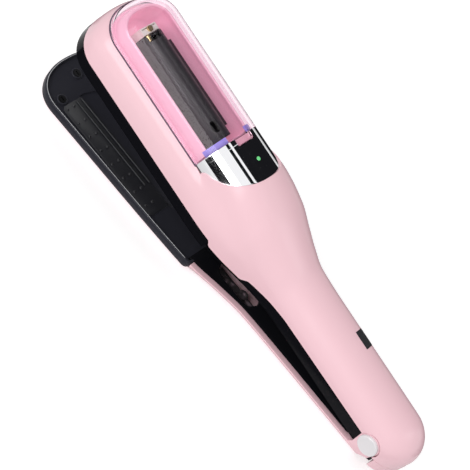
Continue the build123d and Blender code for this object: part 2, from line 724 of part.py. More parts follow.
def make_battery_cell():
    """The round cell along the handle, with its raised end."""
    z = FRAME_FLOOR + 2 * SEAT_GAP + CELL_RADIUS
    cell = rod(CELL_START, 0, z, CELL_RADIUS, CELL_LENGTH - 1, "X")
    return cell + rod(CELL_START, 0, z, 2.6, CELL_LENGTH, "X")


def make_circuit_board():
    """The control board on its posts in the neck, with its chips."""
    board = box(
        BOARD_START, BOARD_END, -BOARD_HALF, BOARD_HALF, BOARD_Z, BOARD_Z + BOARD_THICKNESS
    )
    top = BOARD_Z + BOARD_THICKNESS
    board += box(BOARD_START + 3, BOARD_START + 8, -3, 2, top, top + 1.4)
    return board + box(BOARD_START + 11, BOARD_START + 14, -6, -2, top, top + 1.0)


def make_power_button(forms):
    """The flush black button, with a flange that keeps it in the shell."""
    x, y = BUTTON_LENGTH / 2, BUTTON_WIDTH / 2
    cap = at_button(box(-x, x, -y, y, BUTTON_FLANGE_TOP - 0.1, 3)) & forms["outer"]
    flange = box(
        -x - 0.8, x + 0.8, -y - 0.8, y + 0.8, BUTTON_FLANGE_TOP - BUTTON_FLANGE, BUTTON_FLANGE_TOP
    )
    return cap + at_button(flange)


def make_button_switch():
    """The flat switch that the button presses."""
    switch = box(-3, 3, -3, 3, SWITCH_TOP - SWITCH_HEIGHT + SEAT_GAP, SWITCH_TOP)
    return at_button(switch)


def make_switch_board():
    """The small board that carries the button's switch, on two ribs of the shell."""
    top = SWITCH_TOP - SWITCH_HEIGHT
    x = BUTTON_LENGTH / 2 + BUTTON_GAP + 3
    return at_button(box(-x, x, -3.2, 3.2, top - SWITCH_BOARD - SEAT_GAP, top - SEAT_GAP))


def make_charging_socket():
    """The metal charging inlet at the end of the handle."""
    start = SOCKET_END - SOCKET_DEPTH
    half, tall = SOCKET_WIDTH / 2, SOCKET_HEIGHT / 2
    case = box(start, SOCKET_END, -half, half, SOCKET_Z - tall, SOCKET_Z + tall)
    case -= box(
        start + 1, SOCKET_END + 1, -half + 0.4, half - 0.4, SOCKET_Z - tall + 0.4,
        SOCKET_Z + tall - 0.4,
    )
    return case + box(start + 0.5, SOCKET_END - 1, -3, 3, SOCKET_Z - 0.35, SOCKET_Z + 0.35)


def make_socket_board():
    """The board under the charging inlet."""
    low = TAIL_SPLIT + 0.2 + SEAT_GAP
    high = SOCKET_Z - SOCKET_HEIGHT / 2 - SEAT_GAP
    return box(SOCKET_END - SOCKET_DEPTH - 3, SOCKET_END - 4, -6.5, 6.5, low, high)


def make_status_light():
    """The green lens in the trim panel."""
    return rod(LIGHT_X, 0, LIGHT_BOARD_TOP + 0.6, LIGHT_RADIUS, WINDOW_TOP - LIGHT_BOARD_TOP - 0.5)


def make_light_board():
    """The small board and lamp behind the green lens."""
    top = LIGHT_BOARD_TOP
    board = box(LIGHT_X - 4, LIGHT_X + 4, -4, 4, top - 0.8, top)
    return board + box(LIGHT_X - 0.6, LIGHT_X + 0.6, -0.6, 0.6, top - 0.1, top + 0.5)


def make_chamber_lamps():
    """The two lamps on the chamber's end wall."""
    lamps = [
        rod(BULKHEAD_X - SEAT_GAP - 1.2, side * 10.0, 28.0, 1.5, 1.2, "X") for side in (-1, 1)
    ]
    return Compound(children=[Part(lamp.wrapped) for lamp in lamps])


def make_comb_plate():
    """The slotted steel plate that leads the hair tips to the drum."""
    plate = box(COMB_START, COMB_END, -COMB_HALF_WIDTH, COMB_HALF_WIDTH, 0.05, COMB_THICKNESS)
    count = int((DRUM_END - DRUM_START - 4) / COMB_PITCH)
    for step in range(count):
        x = DRUM_START + 2 + step * COMB_PITCH
        plate -= box(x, x + COMB_PITCH / 2, -SLOT_HALF_WIDTH, SLOT_HALF_WIDTH, -1, 3)
    return plate


def make_fixed_blade():
    """The fixed steel blade beside the drum."""
    low = FRAME_FLOOR + SEAT_GAP
    inner = HOUSING_HALF_WIDTH - HOUSING_WALL - SEAT_GAP
    return box(DRUM_START + 1, DRUM_END - 1, BLADE_EDGE_Y, inner, low, low + 0.8)


def make_shell_screws():
    """The screws that hold the shell to the frame, driven from below."""
    screws = []
    for x, y, _ in both_sides(SHELL_SCREW_PLACES):
        low = SEAT_GAP / 2
        screw = rod(x, y, low, SCREW_HEAD_RADIUS, SCREW_HEAD_HEIGHT)
        screw += rod(x, y, low, SCREW_RADIUS - 0.05, SHELL_SCREW_LENGTH)
        screw -= box(x - 1.6, x + 1.6, y - 0.3, y + 0.3, 0, 0.6)
        screws.append(screw)
    return Compound(children=[Part(screw.wrapped) for screw in screws])


def arm_half_width(x):
    """The arm's half width at x."""
    for (x0, y0), (x1, y1) in zip(ARM_SIDE, ARM_SIDE[1:]):
        if x <= x1:
            return y0 + (y1 - y0) * (x - x0) / (x1 - x0)
    return ARM_TAIL_HALF_WIDTH


def arm_outline(inset, z, end, start=None):
    """A level outline of the arm drawn inwards, from its tip or from a square start."""
    side = [(x, y - inset) for x, y in ARM_SIDE if x < end and (start is None or x > start)]
    side.append((end, arm_half_width(end) - inset))
    if start is not None:
        side.insert(0, (start, arm_half_width(start) - inset))
        ring = side + [(x, -y) for x, y in reversed(side)]
        return Pos(0, 0, z) * make_face(Polyline(*ring, close=True))
    points = tip_points(inset, ARM_HEAD_HALF_WIDTH - inset)
    curve = Spline(points, tangents=[(-1, 0, 0), (1, 0, 0)])
    edges = [curve] + [Line(a, b) for a, b in zip(side, side[1:])]
    back = [(x, -y) for x, y in reversed(side)]
    edges.append(Line(side[-1], back[0]))
    edges += [Line(a, b) for a, b in zip(back, back[1:])]
    return Pos(0, 0, z) * make_face(Wire(edges))


def arm_block(levels, end, start=None):
    """A ruled solid through the arm's outline at several insets and heights."""
    return loft([arm_outline(inset, z, end, start) for inset, z in levels], ruled=True)


def make_arm_cover():
    """The pink outer shell of the arm, with its two hinge ears and its posts."""
    low = ARM_SOLE
    outer = ((6.0, low), (3.4, low + 1.4), (1.5, low + 3), (0.4, low + 5), (0, RIM_HEIGHT))
    cover = arm_block(outer, HINGE_X)
    floor = ARM_SOLE + ARM_FLOOR
    tray_low = RIM_HEIGHT - TRAY_HEIGHT
    cover -= box(-5, TRAY_END + LINER_GAP, -40, 40, tray_low - SEAT_GAP, 5)
    half = HEAD_HOLLOW_HALF_WIDTH
    cover -= box(HEAD_HOLLOW_START, TRAY_END, -half, half, floor, 5)
    inner = ((7.0, floor), (5.0, floor + 1.4), (3.4, floor + 3.4), (ARM_WALL, floor + 5.4),
             (ARM_WALL, 1.0))
    cover -= arm_block(inner, HINGE_X - ARM_WALL, TRAY_END - 1)
    tray_seat = RIM_HEIGHT - TRAY_POCKET - TRAY_SKIN - SEAT_GAP
    liner_seat = RIM_HEIGHT - LINER_THICKNESS - 2 * SEAT_GAP
    for x, y in TRAY_SCREW_PLACES:
        cover += rod(x, y, tray_low - 1, POST_RADIUS, tray_seat - tray_low + 1)
        cover -= rod(x, y, floor, SCREW_RADIUS, 20)
    for x, y in LINER_SCREW_PLACES:
        cover += rod(x, y, floor - 0.5, POST_RADIUS, liner_seat - floor + 0.5)
        cover -= rod(x, y, floor, SCREW_RADIUS, 20)
    wall_foot = RIM_HEIGHT - 1.5
    for side in (-1, 1):
        y0, y1 = sorted((side * EAR_INNER, side * EAR_OUTER))
        ear = box(HINGE_X - EAR_RADIUS - 0.5, HINGE_X + EAR_RADIUS - 1.5, y0, y1,
                  wall_foot, HINGE_Z)
        ear += hinge_rod(EAR_RADIUS, y0, y1)
        cover += ear
    return cover - hinge_rod(PIN_RADIUS + PIN_CLEARANCE, -20, 20)


def make_arm_tray():
    """The black tray at the head of the arm, with a thin rim and a middle channel."""
    low = RIM_HEIGHT - TRAY_HEIGHT
    tray = arm_block(((0.5, low), (0, low + 1.5), (0, RIM_HEIGHT)), TRAY_END)
    top = RIM_HEIGHT - TRAY_POCKET
    tray -= arm_block(((TRAY_RIM, top), (TRAY_RIM, 1.0)), TRAY_END - TRAY_RIM)
    under = top - TRAY_SKIN
    tray -= arm_block(((TRAY_RIM + 0.8, low - 1), (TRAY_RIM + 0.8, under)), TRAY_END - 2)
    tray -= box(
        CHANNEL_START, CHANNEL_END, -CHANNEL_HALF_WIDTH, CHANNEL_HALF_WIDTH,
        top - CHANNEL_DEPTH, top + 1,
    )
    for x, y in TRAY_SCREW_PLACES:
        tray += rod(x, y, top - 0.2, SCREW_HEAD_RADIUS + 0.6, BOSS_HEIGHT + 0.2)
        tray -= rod(x, y, top - 0.2, SCREW_HEAD_RADIUS + SEAT_GAP - 0.3, 4)
        tray -= rod(x, y, under - 1, SCREW_RADIUS + SEAT_GAP, 8)
    return tray


def make_grip_pad(side):
    """One ribbed pad of the tray, with its two raised lines and rows of nubs."""
    low = RIM_HEIGHT - TRAY_POCKET + SEAT_GAP
    inner, outer = PAD_INNER, PAD_OUTER
    pad = box(PAD_START, PAD_END, inner, outer, low, low + PAD_THICKNESS)
    for y in (inner, inner + LINE_SPACING):
        pad += box(PAD_START + 0.6, LINE_END, y, y + LINE_WIDTH, low, low + LINE_HEIGHT)
    for row in range(NUB_ROWS):
        for y in NUB_LINES:
            pad += rod(NUB_START + row * NUB_PITCH, y, low, NUB_RADIUS, LINE_HEIGHT)
    return pad if side > 0 else mirrored(pad)


def screw_group(places, top, length, head):
    """A group of equal screws driven from above, each with a slot."""
    screws = []
    for x, y in places:
        screw = rod(x, y, top - SCREW_HEAD_HEIGHT, head, SCREW_HEAD_HEIGHT)
        screw += rod(x, y, top - length, SCREW_RADIUS - 0.05, length)
        screw -= box(x - 1.4, x + 1.4, y - 0.3, y + 0.3, top - 0.4, top + 1)
        screws.append(screw)
    return Compound(children=[Part(screw.wrapped) for screw in screws])


def make_tray_screws():
    """The screws of the tray."""
    low = RIM_HEIGHT - TRAY_POCKET - 0.2
    return screw_group(TRAY_SCREW_PLACES, low + SCREW_HEAD_HEIGHT + SEAT_GAP / 2, 6.0,
                       SCREW_HEAD_RADIUS - 0.3)


def make_arm_liner():
    """The black inner face of the arm, with the lock's oval recess and the spring's slot."""
    top = RIM_HEIGHT - SEAT_GAP
    low = top - LINER_THICKNESS
    inset = ARM_WALL + LINER_GAP
    start = TRAY_END + LINER_GAP
    liner = arm_block(((inset, low), (inset, top)), HINGE_X - inset, start)
    recess = Pos(RECESS_X, RECESS_Y, low - 1) * extrude(SlotOverall(RECESS_LENGTH, RECESS_WIDTH), 4)
    liner -= recess
    for x, y in LINER_SCREW_PLACES:
        liner -= rod(x, y, top - SCREW_HEAD_HEIGHT - SEAT_GAP, SCREW_HEAD_RADIUS + SEAT_GAP, 4)
        liner -= rod(x, y, low - 1, SCREW_RADIUS + SEAT_GAP, 8)
    hook_y = SPRING_PITCH * SPRING_TURNS / 2
    return liner - box(
        SPRING_HOOK_START, SPRING_HOOK_END, hook_y - SPRING_WIRE, hook_y + SPRING_WIRE, low - 1, 1
    )


def make_liner_screws():
    """The screws of the liner."""
    return screw_group(LINER_SCREW_PLACES, RIM_HEIGHT - SEAT_GAP - SEAT_GAP / 2, 6.0,
                       SCREW_HEAD_RADIUS)


def make_lock_rail():
    """The rail in the oval recess that guides the lock slider."""
    floor = ARM_SOLE + ARM_FLOOR + SEAT_GAP
    start, end = RAIL_START, RAIL_END
    rail = box(start, end, -LOCK_HALF - 1, LOCK_HALF + 1, floor, floor + LOCK_BASE)
    for side in (-1, 1):
        y0, y1 = sorted((side * (LOCK_HALF + 0.2), side * (LOCK_HALF + 1)))
        rail += box(start, end, y0, y1, floor, floor + LOCK_BASE + 1.0)
    rail += box(start, start + 4, -1.6, 1.6, floor, floor + LOCK_BASE + 3.0)
    return Pos(0, RECESS_Y, 0) * rail


def make_lock_spring():
    """The bent steel ring that clicks the slider into its two places."""
    floor = ARM_SOLE + ARM_FLOOR + SEAT_GAP + LOCK_BASE + SEAT_GAP
    ring = rod(LOCK_RING_X, 0, floor, LOCK_RING_RADIUS, 1.6)
    ring -= rod(LOCK_RING_X, 0, floor - 1, LOCK_RING_RADIUS - 0.9, 4)
    return Pos(0, RECESS_Y, 0) * ring


def make_lock_slider():
    """The lobed slider that locks the closed arm."""
    floor = ARM_SOLE + ARM_FLOOR + SEAT_GAP + LOCK_BASE + SEAT_GAP
    end = RAIL_END - LOCK_END_GAP - LOCK_TRAVEL
    start = LOCK_RING_X + LOCK_RING_RADIUS + LOCK_RING_GAP
    slider = box(start, end, -LOCK_HALF, LOCK_HALF, floor, floor + 1.2)
    slider += rod(start + 2.4, 0, floor, 2.0, 3.0)
    slider += rod(end - LOCK_HALF, 0, floor, LOCK_HALF, 4.4)
    slider -= rod(end - LOCK_HALF, 0, floor + 3.6, 1.4, 2)
    return Pos(0, RECESS_Y, 0) * slider


def make_hinge_pin():
    """The steel pin that joins body and arm."""
    length = EAR_OUTER - 0.05
    return hinge_rod(PIN_RADIUS, -length, length)


def make_hinge_cap(side):
    """The white round cap over one end of the pin."""
    start = EAR_OUTER + SEAT_GAP
    cap = hinge_rod(CAP_RADIUS, start, start + CAP_THICKNESS)
    cap = chamfer(cap.edges().sort_by(Axis.Y)[-1], 0.4)
    return cap if side > 0 else mirrored(cap)


def leg(start, end):
    """A straight leg of spring wire between two points."""
    way = Vector(*end) - Vector(*start)
    return Plane(start, z_dir=way).location * Cylinder(
        SPRING_WIRE / 2, way.length, align=(Align.CENTER, Align.CENTER, Align.MIN)
    )


def make_return_spring():
    """The torsion spring round the pin that pushes the arm open."""
    height = SPRING_PITCH * SPRING_TURNS
    path = Helix(SPRING_PITCH, height, SPRING_RADIUS)
    coil = sweep(Plane(origin=path @ 0, z_dir=path % 0) * Circle(SPRING_WIRE / 2), path=path)
    turned = Location((HINGE_X, -height / 2, HINGE_Z), (-90, 0, 0)) * Rot(0, 0, 90) * coil
    z = HINGE_Z - SPRING_RADIUS
    half = height / 2
    frame_leg = leg((HINGE_X, -half, z), (HINGE_X - 11, -half, FRAME_FLOOR + SPRING_WIRE / 2))
    arm_leg = leg((HINGE_X + 0.8, half, z), (HINGE_X - 12, half, -1.5))
    return turned + frame_leg + arm_leg


def build_body():
    """Every piece that the body carries, in the body's own axes."""
    forms = {
        "outer": body_form(0),
        "shell_middle": body_form(SHELL_WALL / 2),
        "shell_inner": body_form(SHELL_WALL),
        "frame_wall": body_form(FRAME_WALL),
        "frame_outer": body_form(FRAME_INSET),
        "frame_inner": body_form(FRAME_INSET + FRAME_WALL),
    }
    return {
        "upper_shell": make_upper_shell(forms),
        "base_frame": make_base_frame(forms),
        "tail_piece": make_tail_piece(forms),
        "window_cover": make_window_cover(),
        "cover_tongue": make_cover_tongue(),
        "trim_panel": make_trim_panel(),
        "panel_frame": make_panel_frame(),
        "chamber_tray": make_chamber_tray(),
        "chamber_lamps": make_chamber_lamps(),
        "cutter_housing": make_cutter_housing(),
        "housing_plate": make_housing_plate(),
        "front_bearing": make_front_bearing(),
        "bearing_screw": make_bearing_screw(),
        "rear_bearing": make_rear_bearing(),
        "blade_roller": make_blade_roller(),
        "roller_shaft": make_roller_shaft(),
        "roller_gear": make_roller_gear(),
        "motor_pinion": make_motor_pinion(),
        "drive_motor": make_drive_motor(),
        "motor_mount": make_motor_mount(),
        "fixed_blade": make_fixed_blade(),
        "comb_plate": make_comb_plate(),
        "battery_cell": make_battery_cell(),
        "circuit_board": make_circuit_board(),
        "power_button": make_power_button(forms),
        "button_switch": make_button_switch(),
        "switch_board": make_switch_board(),
        "charging_socket": make_charging_socket(),
        "socket_board": make_socket_board(),
        "status_light": make_status_light(),
        "light_board": make_light_board(),
        "shell_screws": make_shell_screws(),
        "hinge_pin": make_hinge_pin(),
        "hinge_cap_left": make_hinge_cap(-1),
        "hinge_cap_right": make_hinge_cap(1),
        "return_spring": make_return_spring(),
    }


def build_arm():
    """Every piece that the arm carries, drawn closed."""
    return {
        "arm_cover": make_arm_cover(),
        "arm_tray": make_arm_tray(),
        "grip_pad_left": make_grip_pad(-1),
        "grip_pad_right": make_grip_pad(1),
        "tray_screws": make_tray_screws(),
        "arm_liner": make_arm_liner(),
        "liner_screws": make_liner_screws(),
        "lock_rail": make_lock_rail(),
        "lock_spring": make_lock_spring(),
        "lock_slider": make_lock_slider(),
    }


# The finished part rests on the arm's sole: z = 0 there, and x = 0 half way along it.
MIDDLE_X = TOTAL_LENGTH / 2
TO_ROW = Location((-MIDDLE_X, 0, -ARM_SOLE))
TO_HINGE = Location((HINGE_X, 0, HINGE_Z))
FROM_HINGE = Location((-HINGE_X, 0, -HINGE_Z))
OPENED = TO_ROW * TO_HINGE * Location((0, 0, 0), (0, OPEN_ANGLE, 0)) * FROM_HINGE


def main():
    """Build every piece, place it and write one file for each."""
    os.makedirs("parts", exist_ok=True)
    placed = {name: OPENED * solid for name, solid in build_body().items()}
    placed.update({name: TO_ROW * solid for name, solid in build_arm().items()})
    for name, solid in placed.items():
        export_step(solid, f"parts/{name}.step")


if __name__ == "__main__":
    main()
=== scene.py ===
import json
from math import radians

import bmesh
import bpy
import numpy as np
from mathutils import Matrix, Vector


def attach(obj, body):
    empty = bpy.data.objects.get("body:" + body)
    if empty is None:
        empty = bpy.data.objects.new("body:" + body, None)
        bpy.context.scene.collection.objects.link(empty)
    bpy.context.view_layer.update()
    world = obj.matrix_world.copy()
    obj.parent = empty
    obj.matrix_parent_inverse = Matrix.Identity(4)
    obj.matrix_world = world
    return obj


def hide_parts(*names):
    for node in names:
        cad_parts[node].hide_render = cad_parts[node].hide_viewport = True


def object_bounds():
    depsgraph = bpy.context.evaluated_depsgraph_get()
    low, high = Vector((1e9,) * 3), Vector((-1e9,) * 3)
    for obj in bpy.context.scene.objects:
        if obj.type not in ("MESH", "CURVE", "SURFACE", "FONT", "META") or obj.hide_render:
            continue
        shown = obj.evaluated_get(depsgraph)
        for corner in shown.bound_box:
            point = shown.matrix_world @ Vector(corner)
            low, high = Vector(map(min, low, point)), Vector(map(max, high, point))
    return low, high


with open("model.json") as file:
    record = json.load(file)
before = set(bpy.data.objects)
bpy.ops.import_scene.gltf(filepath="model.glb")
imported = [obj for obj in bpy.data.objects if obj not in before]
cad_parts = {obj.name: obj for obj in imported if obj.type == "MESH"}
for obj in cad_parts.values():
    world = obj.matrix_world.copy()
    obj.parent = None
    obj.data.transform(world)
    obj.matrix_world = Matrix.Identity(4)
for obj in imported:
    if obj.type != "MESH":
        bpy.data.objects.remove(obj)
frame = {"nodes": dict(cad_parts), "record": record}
cad_box = [list(corner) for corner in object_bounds()]

bl_info = {
    "name": "Split-End Trimmer",
    "version": (1, 0, 0),
    "blender": (4, 5, 0),
    "location": "View3D > Sidebar > Trimmer",
    "description": "Dresses the packed trimmer with smooth shells and finishes",
    "category": "Object",
}

# Drawn sizes are millimetres in the body's own axes: x from the head's tip to the tail, y across,
# z up from the body's underside. The arm is drawn closed in the same axes.
MM = 0.001
# Points nearer to each other than this are welded
WELD = 1e-4
# The body's length, the hinge, the arm's sole, and the angle at which the body stands open
LENGTH = 255.0
HINGE = np.array([236.0, 0.0, 9.0])
ARM_SOLE = -11.0
OPEN_ANGLE = radians(8.2)
# The head's half width, its round tip's length, power and points, and where the tail rounds off
HEAD_HALF = 26.0
TIP_LENGTH = 19.0
TIP_POWER = 2 / 2.3
TIP_COUNT = 97
TAIL_START = 238.0
# The head's side above the black band: how far in and up it goes to the window's seam
BAND_TOP = 6.7
SIDE_INSET = 5.9
SIDE_RISE = 15.3
# Shares of that height, and of that inset there
SIDE_UP = (0.0, 0.477, 0.804, 1.0)
SIDE_IN = (0.0, 0.136, 0.525, 1.0)
# The window's seam: height, half width, and how far it stays back from the head's tip
SEAM_Z = 22.0
SEAM_HALF = 20.1
SEAM_TIP = 2.8
# The window: top, end, wall, lift off the seam, and points across; then its tab
WINDOW_TOP = 38.7
WINDOW_END = 83.5
WINDOW_WALL = 1.8
WINDOW_LIFT = 0.05
WINDOW_COUNT = 241
TAB_END = 87.5
TAB_HALF = 5.5
# The chamber: end, and inset at its rim
CHAMBER_END = 83.2
CHAMBER_INSET = 1.95
# The chamber's risen wall: half width and rise of its outer and inner ellipse
WALL_OUTER, WALL_INNER = (16.9, 13.5), (15.5, 12.1)
# The chrome panel: start, end and half width, its edge's power, and its wall
PANEL_FOOT = 88.0
PANEL_END = 107.0
PANEL_HALF = 20.4
PANEL_POWER = 2.6
PANEL_WALL = 1.3
# The body's chart: its first section and its step; then where its shoulder is smoothed, over
# what length, and how many times
CHART_START = 84.0
CHART_STEP = 0.5
SHOULDER_START = 89.0
SHOULDER_FADE = 14.0
SHOULDER_ROUNDS = 120
# The body's sections: half width, the dome's half width and foot, and the top
BODY_X = (19, 84, 92, 105, 114, 124.6, 136.4, 146.3, 157, 172, 205, TAIL_START)
BODY_HALF = (26, 26, 26, 26, 25.6, 24, 20.9, 18.3, 16.5, 16, 16, 16)
BODY_DOME = (20.1, 20.1, 20.9, 21.2, 21.5, 21.4, 19.6, 17.9, 16.4, 16, 16, 16)
BODY_FOOT = (22, 22, 22, 22, 21.5, 19, 15.5, 12.6, 10.9, 10.5, 10.5, 10.5)
BODY_TOP = (39.2, 39.2, 39.7, 40, 38.7, 36.4, 31.8, 28, 25, 24.7, 24.7, 24.7)
# The parting line of the pink shell and the black band
PARTING_X = (0, 115.6, 117.6, 138.6, 141.6, 165, 228, 233, 239, LENGTH + 5)
PARTING_Z = (6.7, 6.7, 4.0, 4.0, 7.0, 9.4, 10.5, 10.5, 6.1, 6.1)
# The arm's half width along it, and the rounded corners at the ends of its parts
ARM_X = (TIP_LENGTH, 108, 119, 134.5, 152, 177, 236)
ARM_HALF = (25.6, 23.1, 22.2, 19, 16.4, 15.8, 15.2)
END_POWER, END_REACH = 2 / 3, 5.0
# The height of the arm's rim, and the ends of its tray and its liner
RIM = -0.5
TRAY_END = 117.5
LINER_END = 228.5
# The lock's recess: middle along and across, length and width
RECESS = (138.5, -5.4, 26.0, 12.5)
# The arm's flank: heights, how far in it lies at the head and along the handle, and where along
# the neck it goes from the one to the other
FLANK_Z = (ARM_SOLE, -9.6, -8, -6, -2, RIM)
FLANK_HEAD = (6.2, 4.6, 3.1, 1.4, 0.6, 0)
FLANK_HANDLE = (8.6, 7.3, 5.9, 4.1, 0.5, 0)
NECK_X, NECK_SHARE = (108, 113, 119, 124), (0, 0.25, 0.75, 1)
# The pocket in the arm's cover, as rows of (inset, height)
POCKET = ((8.0, -9.0), (3.2, -2.9), (3.0, -2.7), (3.0, 3.0))
# The arm's ears: radius, from and to across, and the outline of the foot from the hinge
EAR_RADIUS, EAR_INNER, EAR_OUTER = 6.3, 13.7, 15.2
EAR_FOOT = ((-6.5, 2.0), (-8.5, -2.0), (-1.0, -2.0), (4.2, 2.0))
# The tray's screw bosses, and the places of the pads' raised lines and nubs
BOSSES = ((9.4, 0.0), (17.0, -17.8), (17.0, 17.8))
LINE_PLACES, NUB_PLACES = (8.0, 11.4), (14.4, 19.2)
NUB_ROWS, NUB_START, NUB_PITCH = 8, 22.6, 8.5
# The cutter housing and the bearing block before it
HOUSING_HALF, HOUSING_TOP, HOUSING_FOOT, HOUSING_WALL = 6.8, 29.1, 9.6, 1.2
BEARING_HALF, BEARING_TOP, BEARING_START, BEARING_END = 5.5, 26.0, 16.6, 20.6
# The power button's middle, lean, outward direction and half sizes, and the gap round it
BUTTON_AT = np.array([194.1, 8.3, 22.64])
BUTTON_LEAN = radians(28.3)
BUTTON_OUT = np.array([0, np.sin(BUTTON_LEAN), np.cos(BUTTON_LEAN)])
BUTTON_HALF = (4.6, 4.8)
BUTTON_GAP = 0.2
# The charging inlet: half of its flat, its radius and its height
INLET_FLAT, INLET_RADIUS, INLET_Z = 2.9, 1.8, 9.0
# The room for a hinge cap: radius, and from and to across
CAP_NOTCH = (6.6, 13.4, 21)
# Points of a body section: in all, up each side, and over the top
Q_COUNT, Q_SIDE, Q_TOP = 241, 31, 101


def place(points, opened):
    """Body millimetres to the row frame in metres, turned up about the hinge where opened."""
    moved = np.asarray(points, float) - HINGE
    if opened:
        c, s = np.cos(OPEN_ANGLE), np.sin(OPEN_ANGLE)
        x = moved[..., 0] * c + moved[..., 2] * s
        z = moved[..., 2] * c - moved[..., 0] * s
        moved = np.stack([x, moved[..., 1], z], -1)
    return (moved + HINGE - np.array([LENGTH / 2, 0, ARM_SOLE])) * MM


def eased(x, knots, values):
    """A monotone cubic through the knots: Hermite pieces whose slopes are harmonic means."""
    k, v = np.asarray(knots, float), np.asarray(values, float)
    h = np.diff(k)
    d = np.diff(v) / h
    m = np.empty_like(v)
    m[0], m[-1] = d[0], d[-1]
    a, b = d[:-1], d[1:]
    w1, w2 = 2 * h[1:] + h[:-1], h[1:] + 2 * h[:-1]
    with np.errstate(divide="ignore", invalid="ignore"):
        mean = (w1 + w2) / (w1 / a + w2 / b)
    m[1:-1] = np.where(a * b > 0, mean, 0.0)
    x = np.clip(x, k[0], k[-1])
    i = np.clip(np.searchsorted(k, x, "right") - 1, 0, len(h) - 1)
    t = (x - k[i]) / h[i]
    t2, t3 = t * t, t * t * t
    return (
        v[i] * (2 * t3 - 3 * t2 + 1) + m[i] * h[i] * (t3 - 2 * t2 + t)
        + v[i + 1] * (3 * t2 - 2 * t3) + m[i + 1] * h[i] * (t3 - t2)
    )


def spaced(points, count):
    """count points evenly spaced by arc length along each polyline, the last axes (point, xyz)."""
    step = np.linalg.norm(np.diff(points, axis=-2), axis=-1)
    far = np.concatenate([np.zeros(step.shape[:-1] + (1,)), np.cumsum(step, -1)], -1)
    share = far / np.maximum(far[..., -1:], 1e-9)
    goal = np.linspace(0, 1, count)
    rows = points.reshape(-1, *points.shape[-2:])
    shares = share.reshape(-1, share.shape[-1])
    out = [np.stack([np.interp(goal, s, p[:, k]) for k in range(3)], -1)
           for s, p in zip(shares, rows)]
    return np.array(out).reshape(*points.shape[:-2], count, 3)


def tip_turns(count, a, b):
    """Angles round a superelliptic tip at which its outline is evenly spaced."""
    turn = np.linspace(-np.pi / 2, np.pi / 2, 4001)
    line = np.stack([a * np.abs(np.cos(turn)) ** TIP_POWER,
                     b * np.sign(turn) * np.abs(np.sin(turn)) ** TIP_POWER], -1)
    far = np.concatenate([[0], np.cumsum(np.linalg.norm(np.diff(line, axis=0), axis=1))])
    return np.interp(np.linspace(0, far[-1], count), far, turn)


def tip_shares(turn):
    """The superellipse's shares along and across at each angle."""
    along = np.abs(np.cos(turn)) ** TIP_POWER
    across = np.sign(turn) * np.abs(np.sin(turn)) ** TIP_POWER
    along[np.abs(np.abs(turn) - np.pi / 2) < 1e-9] = 0
    return along, across


def tail_shares(x):
    """How much of the handle's section is left at x, an ellipse's height over the tail."""
    t = np.clip((x - TAIL_START) / (LENGTH - TAIL_START), 0, 1)
    return np.sqrt(1 - t * t)


def side_profile(count):
    """The head's side from band to seam: shares inward and upward, even by arc length."""
    up = np.linspace(0, 1, 801)
    inward = eased(up, SIDE_UP, SIDE_IN)
    line = np.stack([inward * SIDE_INSET, up * SIDE_RISE, up * 0], -1)
    even = spaced(line, count)
    return even[:, 0] / SIDE_INSET, even[:, 1] / SIDE_RISE


class BodyChart:
    """The body's outer form behind the window: a section for each x, from the parting line on the
    near side over the top to the far side, with its shoulder rounded away down the neck."""

    def __init__(self):
        tail = TAIL_START + (LENGTH - TAIL_START) * np.sin(np.linspace(0, np.pi / 2, 40))
        self.x = np.concatenate([np.arange(CHART_START, TAIL_START, CHART_STEP), tail])
        left = tail_shares(self.x)
        half = eased(self.x, BODY_X, BODY_HALF) * left
        dome = eased(self.x, BODY_X, BODY_DOME) * left
        foot = eased(self.x, BODY_X, BODY_FOOT)
        rise = (eased(self.x, BODY_X, BODY_TOP) - foot) * left
        part = np.interp(self.x, PARTING_X, PARTING_Z)
        low = np.minimum(BAND_TOP, foot * 0.6)
        side_count = 161
        v = np.linspace(0, 1, side_count)[None, :] ** 0.8
        z = part[:, None] + (foot - part)[:, None] * v
        up = np.clip((z - low[:, None]) / (foot - low)[:, None], 0, 1)
        y = half[:, None] - eased(up, SIDE_UP, SIDE_IN) * (half - dome)[:, None]
        turn = np.linspace(0, np.pi, 361)[None, 1:-1]
        ty = dome[:, None] * np.cos(turn)
        tz = foot[:, None] + rise[:, None] * np.sin(turn)
        across = np.concatenate([-y, -ty, y[:, ::-1]], 1)
        height = np.concatenate([z, tz, z[:, ::-1]], 1)
        line = np.stack([np.repeat(self.x[:, None], across.shape[1], 1), across, height], -1)
        grid = spaced(line, Q_COUNT)
        foot_row = line[int((PANEL_FOOT - CHART_START) / CHART_STEP)]
        step = np.linalg.norm(np.diff(foot_row, axis=0), axis=1)
        self.seam = step[:side_count - 1].sum() / step.sum()
        easing = np.clip((self.x - SHOULDER_START) / SHOULDER_FADE, 0, 1)[:, None, None]
        for _ in range(SHOULDER_ROUNDS):
            middle = (grid[:, :-2] + grid[:, 2:]) / 2
            grid[:, 1:-1] += 0.5 * easing * (middle - grid[:, 1:-1])
        grid[..., 0] = self.x[:, None]
        self.grid = grid

    def at(self, x, q):
        """Points of the form at x and section share q, blended between the four nearest."""
        x, q = np.broadcast_arrays(np.asarray(x, float), np.asarray(q, float))
        i = np.clip(np.searchsorted(self.x, x, "right") - 1, 0, len(self.x) - 2)
        s = np.clip((x - self.x[i]) / (self.x[i + 1] - self.x[i]), 0, 1)[..., None]
        j = np.clip((q * (Q_COUNT - 1)).astype(int), 0, Q_COUNT - 2)
        t = (q * (Q_COUNT - 1) - j)[..., None]
        g = self.grid
        return (
            (g[i, j] * (1 - t) + g[i, j + 1] * t) * (1 - s)
            + (g[i + 1, j] * (1 - t) + g[i + 1, j + 1] * t) * s
        )


